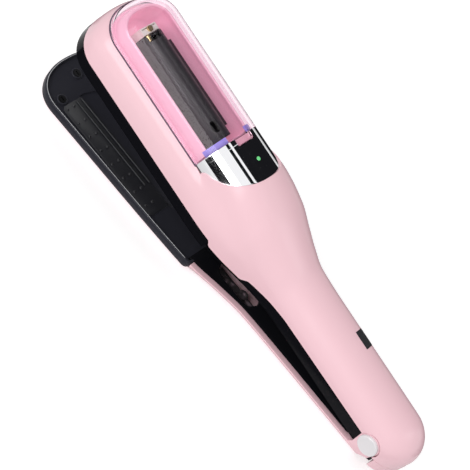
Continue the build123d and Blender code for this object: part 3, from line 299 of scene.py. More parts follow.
def panel_edge(y):
    """The panel's D-shaped lower edge: x for each y, a superellipse."""
    share = np.clip(np.abs(y) / PANEL_HALF, 0, 1)
    return PANEL_FOOT + (PANEL_END - PANEL_FOOT) * (1 - share**PANEL_POWER) ** (1 / PANEL_POWER)


def window_point(x, turn, inset=0.0):
    """The window's half-elliptic bar: a point for each x and angle over the top."""
    half, rise = SEAM_HALF - inset, WINDOW_TOP - SEAM_Z - inset
    x, turn = np.broadcast_arrays(np.asarray(x, float), np.asarray(turn, float))
    return np.stack([x, -half * np.cos(turn), SEAM_Z + rise * np.sin(turn)], -1)


def grid_faces(rows, columns, offset, flip):
    """Quads between the neighbouring points of a grid."""
    i = np.arange((rows - 1) * columns).reshape(rows - 1, columns)[:, :-1].ravel() + offset
    quads = np.stack([i, i + 1, i + columns + 1, i + columns], -1)
    return quads[:, ::-1] if flip else quads


class Mesh:
    """Grids and flat caps gathered into one mesh."""

    def __init__(self):
        self.points, self.faces, self.count = [], [], 0

    def grid(self, points, flip=False, loop=False):
        """Add a grid of points (rows, columns, 3), its columns closed into a ring by loop."""
        points = np.asarray(points, float)
        if loop:
            points = np.concatenate([points, points[:, :1]], 1)
        rows, columns = points.shape[:2]
        self.points.append(points.reshape(-1, 3))
        self.faces += grid_faces(rows, columns, self.count, flip).tolist()
        self.count += rows * columns
        return self

    def cap(self, ring, flip=False):
        """Add one flat face round a ring of points."""
        ring = np.asarray(ring, float)
        order = list(range(self.count, self.count + len(ring)))
        self.points.append(ring)
        self.faces.append(order[::-1] if flip else order)
        self.count += len(ring)
        return self

    def tube(self, rows):
        """Add a closed tube: a ring of points for each row, and a flat cap at both ends."""
        return self.grid(rows, loop=True).cap(rows[0], flip=True).cap(rows[-1])

    def solid(self, name, opened=True):
        """The object of a closed mesh, its faces turned outwards."""
        return outward(self.make(name, opened))

    def make(self, name, opened=True):
        """The object: points welded, faces without area dropped, in the row frame."""
        mesh = bpy.data.meshes.new(name)
        mesh.from_pydata(place(np.concatenate(self.points), opened), [], self.faces)
        tidy = bmesh.new()
        tidy.from_mesh(mesh)
        bmesh.ops.remove_doubles(tidy, verts=tidy.verts, dist=WELD * MM)
        bmesh.ops.dissolve_degenerate(tidy, edges=tidy.edges, dist=WELD * MM)
        tidy.to_mesh(mesh)
        tidy.free()
        made = bpy.data.objects.new(name, mesh)
        bpy.context.scene.collection.objects.link(made)
        return made


def outward(made):
    """Turn every face of a closed mesh outwards."""
    tidy = bmesh.new()
    tidy.from_mesh(made.data)
    bmesh.ops.recalc_face_normals(tidy, faces=tidy.faces)
    tidy.to_mesh(made.data)
    tidy.free()
    return made


def settle(made, sharp=35.0):
    """Apply the modifiers and shade smooth except at edges sharper than the angle."""
    graph = bpy.context.evaluated_depsgraph_get()
    done = bpy.data.meshes.new_from_object(made.evaluated_get(graph), depsgraph=graph)
    made.modifiers.clear()
    made.data = done
    done.name = made.name
    done.polygons.foreach_set("use_smooth", np.ones(len(done.polygons), bool))
    done.set_sharp_from_angle(angle=radians(sharp))


def thicken(made, wall, radius, segments=2):
    """Give an open sheet a wall inwards, and round its edges."""
    solid = made.modifiers.new("wall", "SOLIDIFY")
    solid.thickness, solid.offset, solid.use_even_offset = wall * MM, -1, True
    round_edges(made, radius, segments)


def round_edges(made, radius, segments, angle=40):
    """Round the edges that are sharper than the angle."""
    bevel = made.modifiers.new("edge", "BEVEL")
    bevel.width, bevel.segments = radius * MM, segments
    bevel.limit_method, bevel.angle_limit = "ANGLE", radians(angle)


def soften(made, radius, angle=50, sharp=40):
    """Round the sharp edges in two steps, and settle the piece."""
    round_edges(made, radius, 2, angle)
    settle(made, sharp)


def cut(made, *cutters):
    """Cut closed meshes out of a piece, and delete them."""
    for cutter in cutters:
        away = made.modifiers.new("cut", "BOOLEAN")
        away.operation, away.object, away.solver = "DIFFERENCE", cutter, "EXACT"
    bpy.context.view_layer.update()
    settle(made)
    for cutter in cutters:
        bpy.data.objects.remove(cutter)


def level(ring, z):
    """A plan outline of (x, y) points at one height."""
    return np.column_stack([ring, np.full(len(ring), float(z))])


def levels(ring_at, rows):
    """Outlines drawn inwards, for rows of (inset, height)."""
    return [level(ring_at(inset), z) for inset, z in rows]


def prism(ring, low, high):
    """A closed mesh between two heights of one plan outline."""
    return Mesh().tube([level(ring, low), level(ring, high)])


def block(x0, x1, y0, y1, z0, z1):
    """A box to cut with."""
    return prism(np.array([(x0, y0), (x1, y0), (x1, y1), (x0, y1)], float), z0, z1)


def upright(ring, x):
    """An outline of (y, z) points at one x."""
    return np.column_stack([np.full(len(ring), x), ring])


def shrunk_box(ring):
    """A convex outline as a function of its inset, its corners drawn in along x and y."""
    middle = ring.mean(0)
    return lambda inset: ring - np.sign(ring - middle) * inset


def turned(profile, count=64):
    """A profile of (radius, height) rows turned about z, as a grid."""
    turn = np.linspace(0, 2 * np.pi, count, endpoint=False)
    r, z = np.asarray(profile, float).T
    x, y = r[:, None] * np.cos(turn), r[:, None] * np.sin(turn)
    return np.stack([x, y, np.repeat(z[:, None], count, 1)], -1)


def moved(points, origin, x_axis, z_axis):
    """Points taken into axes given by an origin and two directions."""
    z = np.asarray(z_axis, float) / np.linalg.norm(z_axis)
    x = np.asarray(x_axis, float) - np.dot(x_axis, z) * z
    x /= np.linalg.norm(x)
    y = np.cross(z, x)
    return np.asarray(origin, float) + np.asarray(points, float) @ np.array([x, y, z])


def own(made, body, slot, *nodes, finish=None):
    """Give a piece its body and the finish of its slot or its own, and hide the CAD nodes that it
    stands for."""
    dress(made, finish or SLOT_FINISH.get(slot, slot))
    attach(made, body)
    if nodes:
        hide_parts(*nodes)


def surface_group(name, inputs):
    """An empty surface group and its two end nodes, its inputs as (name, default, low, high)."""
    group = bpy.data.node_groups.new(name, "ShaderNodeTree")
    for label, grey in (("Colour", 0.5), ("Shade", 0.3)):
        socket = group.interface.new_socket(label, in_out="INPUT", socket_type="NodeSocketColor")
        socket.default_value = (grey, grey, grey, 1)
    for label, default, low, high in inputs:
        socket = group.interface.new_socket(label, in_out="INPUT", socket_type="NodeSocketFloat")
        socket.default_value, socket.min_value, socket.max_value = default, low, high
    for label, kind in (("Colour", "Color"), ("Roughness", "Float"), ("Normal", "Vector")):
        group.interface.new_socket(label, in_out="OUTPUT", socket_type="NodeSocket" + kind)
    return group, group.nodes.new("NodeGroupInput"), group.nodes.new("NodeGroupOutput")


def noise(tree, where, scale, detail, roughness=0.5):
    """A noise texture at the given coordinates and scale."""
    node = tree.nodes.new("ShaderNodeTexNoise")
    node.inputs["Detail"].default_value = detail
    node.inputs["Roughness"].default_value = roughness
    tree.links.new(where, node.inputs["Vector"])
    tree.links.new(scale, node.inputs["Scale"])
    return node.outputs["Fac"]


def value_node(tree, operation, a, b):
    """A maths node of two sockets or numbers."""
    node = tree.nodes.new("ShaderNodeMath")
    node.operation = operation
    for slot, source in zip(node.inputs, (a, b)):
        if isinstance(source, (int, float)):
            slot.default_value = source
        else:
            tree.links.new(source, slot)
    return node.outputs[0]


def mixed(tree, share, first, second):
    """A colour that goes by a share from a socket's to another socket's or a plain one."""
    mix = tree.nodes.new("ShaderNodeMix")
    mix.data_type = "RGBA"
    tree.links.new(share, mix.inputs["Factor"])
    tree.links.new(first, mix.inputs[6])
    if isinstance(second, tuple):
        mix.inputs[7].default_value = (*second, 1)
    else:
        tree.links.new(second, mix.inputs[7])
    return mix.outputs[2]


def end_group(group, enter, leave, share, wander, fine, height, distance):
    """The end of both groups: the mixed colour, the wandering roughness and the bump."""
    link = group.links.new
    link(mixed(group, share, enter.outputs["Colour"], enter.outputs["Shade"]),
         leave.inputs["Colour"])
    swing = value_node(group, "MULTIPLY", wander, enter.outputs["Roughness Spread"])
    link(value_node(group, "ADD", swing, enter.outputs["Roughness"]), leave.inputs["Roughness"])
    bump = group.nodes.new("ShaderNodeBump")
    bump.inputs["Distance"].default_value = distance
    link(enter.outputs[height], bump.inputs["Strength"])
    link(fine, bump.inputs["Height"])
    link(bump.outputs[0], leave.inputs["Normal"])
    return group


def moulded_group():
    """Moulded plastic: broad cloudy shade, fine texture, and a roughness that wanders."""
    group, enter, leave = surface_group("moulded_surface", [
        ("Cloud", 0.3, 0, 1), ("Cloud Scale", 40, 0, 1e4), ("Roughness", 0.4, 0, 1),
        ("Roughness Spread", 0.1, 0, 1), ("Texture Scale", 1500, 0, 1e5),
        ("Texture Height", 0.1, 0, 1)])
    where = group.nodes.new("ShaderNodeTexCoord").outputs["Object"]
    cloud = noise(group, where, enter.outputs["Cloud Scale"], 3)
    fine = noise(group, where, enter.outputs["Texture Scale"], 2)
    share = value_node(group, "MULTIPLY", value_node(group, "SUBTRACT", cloud, 0.35), 2.5)
    within = group.nodes.new("ShaderNodeClamp")
    group.links.new(value_node(group, "MULTIPLY", share, enter.outputs["Cloud"]),
                    within.inputs["Value"])
    wander = value_node(group, "ADD", value_node(group, "SUBTRACT", fine, 0.5),
                        value_node(group, "SUBTRACT", share, 0.4))
    return end_group(group, enter, leave, within.outputs[0], wander, fine, "Texture Height",
                     0.00005)


def ground_group():
    """Ground or drawn metal: fine streaks along x, in colour, roughness and height."""
    group, enter, leave = surface_group("ground_metal", [
        ("Streaks", 0.5, 0, 1), ("Streak Scale", 2500, 0, 1e5), ("Roughness", 0.3, 0, 1),
        ("Roughness Spread", 0.15, 0, 1), ("Streak Height", 0.15, 0, 1)])
    turn = group.nodes.new("ShaderNodeMapping")
    turn.inputs["Scale"].default_value = (0.04, 1, 1)
    group.links.new(group.nodes.new("ShaderNodeTexCoord").outputs["Object"],
                    turn.inputs["Vector"])
    streak = noise(group, turn.outputs[0], enter.outputs["Streak Scale"], 4, 0.6)
    share = value_node(group, "MULTIPLY", streak, enter.outputs["Streaks"])
    wander = value_node(group, "SUBTRACT", streak, 0.5)
    return end_group(group, enter, leave, share, wander, streak, "Streak Height", 0.00004)


GROUPS = {"moulded_surface": moulded_group, "ground_metal": ground_group}


def surfaced(name, group, values, shader):
    """A material: one Principled shader, its own constants, and a group for what varies."""
    if name in bpy.data.materials:
        return bpy.data.materials[name]
    material = bpy.data.materials.new(name)
    material.use_nodes = True
    tree = material.node_tree
    body = tree.nodes["Principled BSDF"]
    surface = tree.nodes.new("ShaderNodeGroup")
    surface.node_tree = bpy.data.node_groups.get(group) or GROUPS[group]()
    for output, label in (("Colour", "Base Color"), ("Roughness", "Roughness"),
                          ("Normal", "Normal")):
        tree.links.new(surface.outputs[output], body.inputs[label])
    for node, entries in ((surface, values), (body, shader)):
        for label, value in entries.items():
            socket = node.inputs[label.replace("_", " ")]
            socket.default_value = (*value, 1) if isinstance(value, tuple) else value
    return material


def plastic(name, colour, roughness, cloud=0.25, cloud_scale=30.0, spread=0.05, texture=1800.0,
            height=0.06, dark=0.9, **shader):
    """A moulded plastic finish."""
    values = {
        "Colour": colour, "Shade": tuple(c * dark for c in colour), "Cloud": cloud,
        "Cloud Scale": cloud_scale, "Roughness": roughness, "Roughness Spread": spread,
        "Texture Scale": texture, "Texture Height": height,
    }
    return surfaced(name, "moulded_surface", values, shader)


def metal(name, colour, roughness, streaks=0.4, scale=2500.0, height=0.1, dark=0.7):
    """A ground metal finish."""
    values = {
        "Colour": colour, "Shade": tuple(c * dark for c in colour), "Streaks": streaks,
        "Streak Scale": scale, "Roughness": roughness, "Streak Height": height,
    }
    return surfaced(name, "ground_metal", values, {"Metallic": 1.0})


def clear(name, tint, roughness, ior):
    """Clear moulded plastic: a glassy shader that lets lamps' and diffuse rays through, tinted."""
    material = plastic(name, tint, roughness, cloud=0.2, spread=0.0, height=0.0,
                       Transmission_Weight=1.0, IOR=ior)
    tree = material.node_tree
    passing = tree.nodes.new("ShaderNodeBsdfTransparent")
    passing.inputs[0].default_value = (*tint, 1)
    mix = tree.nodes.new("ShaderNodeMixShader")
    path = tree.nodes.new("ShaderNodeLightPath")
    light = value_node(tree, "MAXIMUM", path.outputs["Is Shadow Ray"],
                       path.outputs["Is Diffuse Ray"])
    body = tree.nodes["Principled BSDF"]
    for source, slot in zip((light, body.outputs[0], passing.outputs[0]), mix.inputs):
        tree.links.new(source, slot)
    tree.links.new(mix.outputs[0], tree.nodes["Material Output"].inputs[0])
    weight = tree.nodes.new("ShaderNodeLayerWeight")
    weight.inputs["Blend"].default_value = 0.5
    colour = body.inputs["Base Color"]
    edge = mixed(tree, value_node(tree, "POWER", weight.outputs["Facing"], 2.0),
                 colour.links[0].from_socket, tuple(c * d for c, d in zip(tint, EDGE_TINT)))
    tree.links.new(edge, colour)
    return material


def colour_property(name, description, default):
    """A colour in the panel."""
    return bpy.props.FloatVectorProperty(
        name=name, description=description, subtype="COLOR", default=default, min=0, max=1)


class TrimmerSettings(bpy.types.PropertyGroup):
    """Sizes and colours that a user would change."""

    pink: colour_property("Shell colour", "Pink of the shells", (0.93, 0.4, 0.49))
    black: colour_property("Black parts", "Black of the band, tray and liner",
                           (0.006, 0.006, 0.008))
    chamber: colour_property("Chamber colour", "Lilac pink of the inner tray", (0.86, 0.52, 0.63))
    window: colour_property("Window tint", "Tint of the clear cover", (0.985, 0.945, 0.97))
    cap: colour_property("Cap colour", "White of the hinge caps", (0.82, 0.77, 0.81))
    wall: bpy.props.FloatProperty(
        name="Shell wall", description="Thickness of the pink shell", unit="LENGTH",
        default=0.002, min=0.001, max=0.003, precision=4)
    edge: bpy.props.FloatProperty(
        name="Edge radius", description="Rounding of the moulded edges", unit="LENGTH",
        default=0.00035, min=0.0001, max=0.001, precision=5)
    light: bpy.props.FloatProperty(
        name="Light", description="Level of the soft lamps", subtype="FACTOR", default=1.0,
        min=0, max=4)


# How much of its tint the clear cover keeps where it is seen edge on
EDGE_TINT = (0.95, 0.66, 0.78)
# Each finish: its kind, its colour as three shares of light or as a setting and its gain, its
# roughness, and what differs from the kind's usual values
FINISHES = {
    "shell_pink": (plastic, ("pink", 1), 0.34, dict(
        cloud=0.35, cloud_scale=18, dark=0.93, Coat_Weight=0.25, Coat_Roughness=0.12,
        Specular_IOR_Level=0.4)),
    "gloss_black": (plastic, ("black", 1), 0.12, dict(
        spread=0.03, height=0.01, Specular_IOR_Level=0.09)),
    "satin_black": (plastic, ("black", 5.0), 0.34, dict(
        spread=0.08, height=0.03, Specular_IOR_Level=0.18)),
    "liner_black": (plastic, ("black", 1), 0.4, dict(height=0.02, Specular_IOR_Level=0.08)),
    "screw_black": (metal, (0.03, 0.03, 0.032), 0.4, dict(streaks=0.5, scale=1500)),
    # The chamber's faint pink emission is painted light: a glow that lifts its walls where the
    # housing and window shade them.
    "chamber_lilac": (plastic, ("chamber", 1), 0.25, dict(
        cloud=0.4, cloud_scale=25, dark=0.85, Coat_Weight=0.3, Coat_Roughness=0.08,
        Emission_Color=(0.8, 0.35, 0.5), Emission_Strength=0.28)),
    # A pale grey for the bead on the tray's rim: a painted highlight where the rim's edge catches
    # the light.
    "rim_grey": (plastic, (0.6, 0.6, 0.62), 0.22, dict(cloud=0.5, cloud_scale=90, dark=0.6)),
    "seal_purple": (plastic, (0.10, 0.055, 0.10), 0.45, dict(cloud=0.4, cloud_scale=200)),
    "window_clear": (clear, ("window", 1), 0.03, dict(ior=1.27)),
    "panel_chrome": (metal, (0.9, 0.9, 0.92), 0.045, dict(
        streaks=0.1, scale=900, height=0.004, dark=0.92)),
    "cap_white": (plastic, ("cap", 1), 0.3, dict(
        cloud=0.3, cloud_scale=60, dark=0.94, Coat_Weight=0.3, Coat_Roughness=0.1)),
    "tongue_pink": (plastic, (0.72, 0.38, 0.46), 0.25, dict(
        cloud=0.6, cloud_scale=300, dark=0.7, Coat_Weight=0.3)),
    "housing_black": (plastic, (0.012, 0.010, 0.013), 0.38, dict(
        cloud=0.5, cloud_scale=60, spread=0.0, height=0.0, dark=0.6, Specular_IOR_Level=0.2)),
    "bearing_white": (plastic, (0.80, 0.74, 0.66), 0.45, dict(
        cloud=0.5, cloud_scale=150, dark=0.8, height=0.1)),
    "brass_fitting": (metal, (0.78, 0.56, 0.26), 0.3, {}),
    "blade_steel": (metal, (0.62, 0.62, 0.64), 0.24, dict(streaks=0.6)),
    "can_steel": (metal, (0.55, 0.55, 0.57), 0.34, dict(streaks=0.3)),
    "cell_sleeve": (plastic, (0.05, 0.2, 0.5), 0.3, dict(cloud=0.3, dark=0.8)),
    "board_green": (plastic, (0.02, 0.16, 0.06), 0.35, dict(
        cloud=0.8, cloud_scale=500, dark=0.6, height=0.2)),
    "button_black": (plastic, (0.004, 0.004, 0.005), 0.4, dict(
        spread=0.1, height=0.15, Specular_IOR_Level=0.06)),
    "light_green": (plastic, (0.25, 0.9, 0.35), 0.3, dict(
        cloud=0.4, cloud_scale=700, dark=0.7, Emission_Color=(0.12, 0.85, 0.25),
        Emission_Strength=0.9)),
    "lamp_violet": (plastic, (0.85, 0.78, 0.92), 0.3, dict(
        cloud=1.0, cloud_scale=350, dark=0.6, Emission_Color=(0.9, 0.75, 0.9),
        Emission_Strength=0.75)),
    "pad_black": (plastic, (0.016, 0.015, 0.018), 0.24, dict(
        spread=0.04, height=0.04, texture=2600, Specular_IOR_Level=0.3)),
    "lock_metal": (metal, (0.16, 0.12, 0.14), 0.33, dict(streaks=0.5)),
}
# The finish of a slot where it has another name, and of carried-over parts that differ
SLOT_FINISH = {
    "frame_black": "gloss_black", "tray_black": "satin_black", "cover_clear": "window_clear",
    "trim_chrome": "panel_chrome", "tray_lilac": "chamber_lilac",
}
NODE_FINISH = {"tray_screws": "screw_black", "liner_screws": "screw_black"}


def dress(made, name):
    """Give an object one finish."""
    kind, colour, roughness, more = FINISHES[name]
    if isinstance(colour[0], str):
        setting, gain = colour
        colour = tuple(gain * v for v in getattr(bpy.context.scene.trimmer, setting))
    made.data.materials.clear()
    made.data.materials.append(kind(name, colour, roughness, **more))


def arm_half(x):
    """The arm's half width."""
    return eased(x, ARM_X, ARM_HALF)


def plan_ring(inset, x_end, reach, sides, start=None):
    """A closed outline of the arm in plan drawn inwards: a superelliptic tip or a square start,
    sides, and a rounded end. Points run the same way for every inset."""
    around = np.linspace(0, np.pi / 2, 13)
    lift, fall = np.sin(around) ** END_POWER, np.cos(around) ** END_POWER
    if start is None:
        along, across = tip_shares(tip_turns(TIP_COUNT, TIP_LENGTH, ARM_HALF[0]))
        half = arm_half(np.array([TIP_LENGTH]))[0] - inset
        front = np.stack([TIP_LENGTH - (TIP_LENGTH - inset) * along, half * across], -1)
    else:
        half = arm_half(np.array([start]))[0] - inset
        front = np.array([(start, -half), (start, half)])
    side = np.stack([sides, arm_half(sides) - inset], -1)
    bend = max(reach - inset, 0.4)
    end_half = arm_half(np.array([x_end - reach]))[0] - inset
    end = np.stack([x_end - reach + bend * lift, end_half - bend + bend * fall], -1)
    end = np.concatenate([end, [[end[-1, 0], 0.0]]])
    back = np.concatenate([end, end[-2::-1] * (1, -1)])
    return np.concatenate([front, side, back, side[::-1] * (1, -1)])


def tab_edge(gap, count):
    """The window's lower edge as (x, angle over the top): straight, with the tab's rounded
    rectangle in the middle, drawn outwards by gap and evenly spaced."""
    inner, outer = 0.5, 1.5
    half, far = TAB_HALF + gap, TAB_END + gap
    turn, plain = np.linspace(0, np.pi / 2, 12), 60
    y = np.concatenate([
        -SEAM_HALF * np.cos(np.linspace(0, 1.1, plain)),
        -half - inner + inner * np.sin(turn), -half + outer - outer * np.cos(turn)])
    x = np.concatenate([
        np.full(plain, WINDOW_END), WINDOW_END + inner - inner * np.cos(turn),
        far - outer + outer * np.sin(turn)])
    x, y = np.concatenate([x, x[::-1]]), np.concatenate([y, -y[::-1]])
    angle = np.arccos(np.clip(-y / SEAM_HALF, -1, 1))
    radius = 18
    even = spaced(np.stack([x, angle * radius, x * 0], -1), count)
    return even[:, 0], even[:, 1] / radius


def cylinder(origin, axis, radius, low, high):
    """A closed round rod along an axis, to cut with."""
    return Mesh().tube(moved(turned([(radius, low), (radius, high)]), origin, (0.3, 0.5, 1), axis))


class TRIMMER_OT_upper_shell(bpy.types.Operator):
    """Pink shell of the body, from the head's wall to the round tail"""

    bl_idname = "trimmer.upper_shell"
    bl_label = "Upper shell"

    def execute(self, context):
        chart = BodyChart()
        seam = chart.seam
        q = np.concatenate([np.linspace(0, seam, Q_SIDE), np.linspace(seam, 1 - seam, Q_TOP)[1:],
                            np.linspace(1 - seam, 1, Q_SIDE)[1:]])
        start = np.full(len(q), PANEL_FOOT)
        for _ in range(12):
            y = chart.at(start, q)[:, 1]
            start = 0.5 * start + 0.5 * np.where(np.abs(y) < PANEL_HALF, panel_edge(y), PANEL_FOOT)
        u = np.linspace(0, 1, 41)[:, None] ** 1.15
        joined = 120.0
        front = chart.at(start + (joined - start) * u, q)
        x = np.concatenate([np.linspace(joined, TAIL_START, 119),
                            TAIL_START + (LENGTH - TAIL_START)
                            * np.sin(np.linspace(0, np.pi / 2, 26)[1:])])
        back = chart.at(x[:, None], q[None])
        inward, up = side_profile(Q_SIDE)
        side_x = np.linspace(TIP_LENGTH, CHART_START, 66)
        half = (HEAD_HALF - SIDE_INSET * inward)[:, None]
        height = (BAND_TOP + SIDE_RISE * up)[:, None]
        side = np.stack(np.broadcast_arrays(side_x[None], half, height), -1)
        along, across = tip_shares(tip_turns(TIP_COUNT, TIP_LENGTH, HEAD_HALF))
        tip = np.stack(np.broadcast_arrays(
            TIP_LENGTH - (TIP_LENGTH - SEAM_TIP * inward)[:, None] * along, half * across,
            height), -1)
        far = front[0, -Q_SIDE:][::-1]
        near = front[0, :Q_SIDE]
        wall = np.concatenate([near[:, None], side[:, ::-1] * (1, -1, 1), tip[:, 1:-1], side,
                               far[:, None]], 1)
        made = Mesh().grid(front).grid(back).grid(wall, flip=True).solid("upper_shell_skin")
        thicken(made, context.scene.trimmer.wall / MM, context.scene.trimmer.edge / MM)
        cutters = [cylinder(HINGE, (0, side, 0), *CAP_NOTCH).solid("notch") for side in (-1, 1)]
        long, wide = (v + BUTTON_GAP for v in BUTTON_HALF)
        hole = block(-long, long, -wide, wide, -6, 3)
        hole.points = [moved(p, BUTTON_AT, (1, 0, 0), BUTTON_OUT) for p in hole.points]
        cutters.append(hole.solid("button_hole"))
        turn = np.linspace(0, 2 * np.pi, 48, endpoint=False)
        flat = INLET_FLAT * np.sign(np.cos(turn)) * (np.abs(np.cos(turn)) > 1e-6)
        slot = np.stack([turn * 0, flat + INLET_RADIUS * np.cos(turn),
                         INLET_Z + INLET_RADIUS * np.sin(turn)], -1)
        cutters.append(Mesh().tube([slot + (244, 0, 0), slot + (258, 0, 0)]).solid("inlet_hole"))
        cut(made, *cutters)
        own(made, "body", "shell_pink", "upper_shell")
        return {"FINISHED"}


def seam_shares():
    """The shares along and across of the points round the window's tip."""
    return tip_shares(tip_turns(TIP_COUNT, TIP_LENGTH - SEAM_TIP, SEAM_HALF))


def window_sheet(inset, count):
    """The window's form drawn inwards, as its tip and its bar. The tip is a superellipse in plan
    whose outline shrinks by the cosine of the lift while its height grows by the sine."""
    turn = np.linspace(0, np.pi, count)
    along, across = seam_shares()
    lift = turn[:count // 2 + 1, None]
    reach, half = TIP_LENGTH - SEAM_TIP - inset, SEAM_HALF - inset
    rise = WINDOW_TOP - SEAM_Z - inset
    tip = np.stack(np.broadcast_arrays(
        TIP_LENGTH - reach * along * np.cos(lift), half * across * np.cos(lift),
        SEAM_Z + rise * np.sin(lift)), -1)
    middle = 60.0
    x, angle = tab_edge(0, count)
    share = np.linspace(0, 1, 50)[:, None]
    end_x = middle + (x - middle) * share
    end_turn = turn + (angle - turn) * share**1.5
    bar_x = np.linspace(TIP_LENGTH, middle, 40)[:-1, None]
    bar = window_point(bar_x, turn[None], inset)
    return tip, np.concatenate([bar, window_point(end_x, end_turn, inset)])


class TRIMMER_OT_window(bpy.types.Operator):
    """Clear domed cover with its tab"""

    bl_idname = "trimmer.window"
    bl_label = "Window"

    def execute(self, context):
        sheets = [window_sheet(inset, WINDOW_COUNT) for inset in (0, WINDOW_WALL)]
        mesh = Mesh()
        for (tip, bar), flip in zip(sheets, (False, True)):
            mesh.grid(tip, not flip).grid(bar, flip)
        (tip, bar), (tip_in, bar_in) = sheets
        mesh.grid([tip[0], tip_in[0]]).grid([bar[-1], bar_in[-1]])
        for side in (0, -1):
            mesh.grid([bar[:, side], bar_in[:, side]])
        made = mesh.make("window_cover_skin")
        made.data.transform(Matrix.Translation((0, 0, WINDOW_LIFT * MM)))
        outward(made)
        round_edges(made, 0.3, 3)
        settle(made)
        own(made, "cover", "cover_clear", "window_cover")
        section = [(-0.4, 21.8), (-0.4, 22.1), (-0.25, 22.24), (0.2, 22.24), (0.4, 22.1),
                   (0.4, 21.8), (-0.4, 21.8)]
        seal = Mesh().grid(levels(window_ring, section), loop=True).solid("window_seal")
        settle(seal, 60)
        own(seal, "body", "frame_black", finish="seal_purple")
        return {"FINISHED"}


class TRIMMER_OT_trim_panel(bpy.types.Operator):
    """Chrome D-shaped panel below the window"""

    bl_idname = "trimmer.trim_panel"
    bl_label = "Trim panel"

    def execute(self, context):
        x, angle = tab_edge(0.18, WINDOW_COUNT)
        x = x + 0.12
        turn = np.linspace(0.075, np.pi - 0.02, WINDOW_COUNT)
        foot = panel_edge(SEAM_HALF * np.cos(turn)) - 0.25 - 0.3 * np.clip(np.cos(turn), 0, 1)
        u = np.linspace(0, 1, 60)[:, None]
        grid = window_point(x + (foot - x) * u, angle + (turn - angle) * u**1.5)
        made = Mesh().grid(grid).solid("trim_panel_skin")
        thicken(made, PANEL_WALL, 0.3, 3)
        settle(made, 50)
        own(made, "body", "trim_chrome", "trim_panel")
        return {"FINISHED"}


def arm_ring(inset, end=TRAY_END, reach=END_REACH):
    """The arm's outline from its tip to an end with rounded corners, drawn inwards."""
    return plan_ring(inset, end, reach, np.arange(TIP_LENGTH + 1, end - reach, 2.0))


def capsule(x0, x1, y, radius, count=12):
    """A long outline with round ends."""
    turn = np.linspace(-np.pi / 2, np.pi / 2, count)
    end = np.stack([x1 - radius + radius * np.cos(turn), y + radius * np.sin(turn)], -1)
    start = np.stack([x0 + radius - radius * np.cos(turn), y - radius * np.sin(turn)], -1)
    return np.concatenate([end, start])


def fillet(radius, high):
    """A quarter round as (inset, height) rows, from the side up to the top."""
    turn = np.linspace(0, np.pi / 2, 5)
    return [(radius * (1 - np.cos(t)), high - radius * (1 - np.sin(t))) for t in turn]


class TRIMMER_OT_arm_cover(bpy.types.Operator):
    """Pink outer cover of the arm, with its hinge ears"""

    bl_idname = "trimmer.arm_cover"
    bl_label = "Arm cover"

    def execute(self, context):
        heights = np.linspace(ARM_SOLE, -0.9, 22)
        head, handle = (eased(heights, FLANK_Z, inset) for inset in (FLANK_HEAD, FLANK_HANDLE))
        rows = [(6.6, 9.2, ARM_SOLE)] + list(zip(head, handle, heights))
        rows += [(inset, inset, z) for inset, z in fillet(0.4, RIM)]
        rings = []
        for near, far, z in rows:
            ring = arm_ring(near, HINGE[0], 2.0)
            share = eased(ring[:, 0], NECK_X, NECK_SHARE)[:, None]
            rings.append(level(ring + (arm_ring(far, HINGE[0], 2.0) - ring) * share, z))
        cover = Mesh().tube(rings).solid("arm_cover_skin", False)
        head = block(-5, TRAY_END + 0.2, -40, 40, -6.1, 5).solid("head", False)
        sides = np.arange(120.0, 224, 3)
        pocket = levels(lambda inset: plan_ring(inset, LINER_END + 0.3, END_REACH, sides,
                                                TRAY_END - 2), POCKET)
        cut(cover, head, Mesh().tube(pocket).solid("pocket", False))
        soften(cover, 0.25)
        own(cover, "arm", "shell_pink", "arm_cover")
        turn = np.linspace(0, np.pi, 40)
        arc = np.stack([EAR_RADIUS * np.cos(turn), HINGE[2] + EAR_RADIUS * np.sin(turn)], -1)
        ring = np.concatenate([arc, EAR_FOOT]) + (HINGE[0], 0)
        for side, name in ((-1, "left"), (1, "right")):
            faces = [np.column_stack([ring[:, 0], np.full(len(ring), y), ring[:, 1]])
                     for y in (side * EAR_INNER, side * EAR_OUTER)]
            ear = Mesh().tube(faces).solid("arm_ear_" + name, False)
            soften(ear, 0.25, 40, 35)
            own(ear, "arm", "shell_pink")
        return {"FINISHED"}


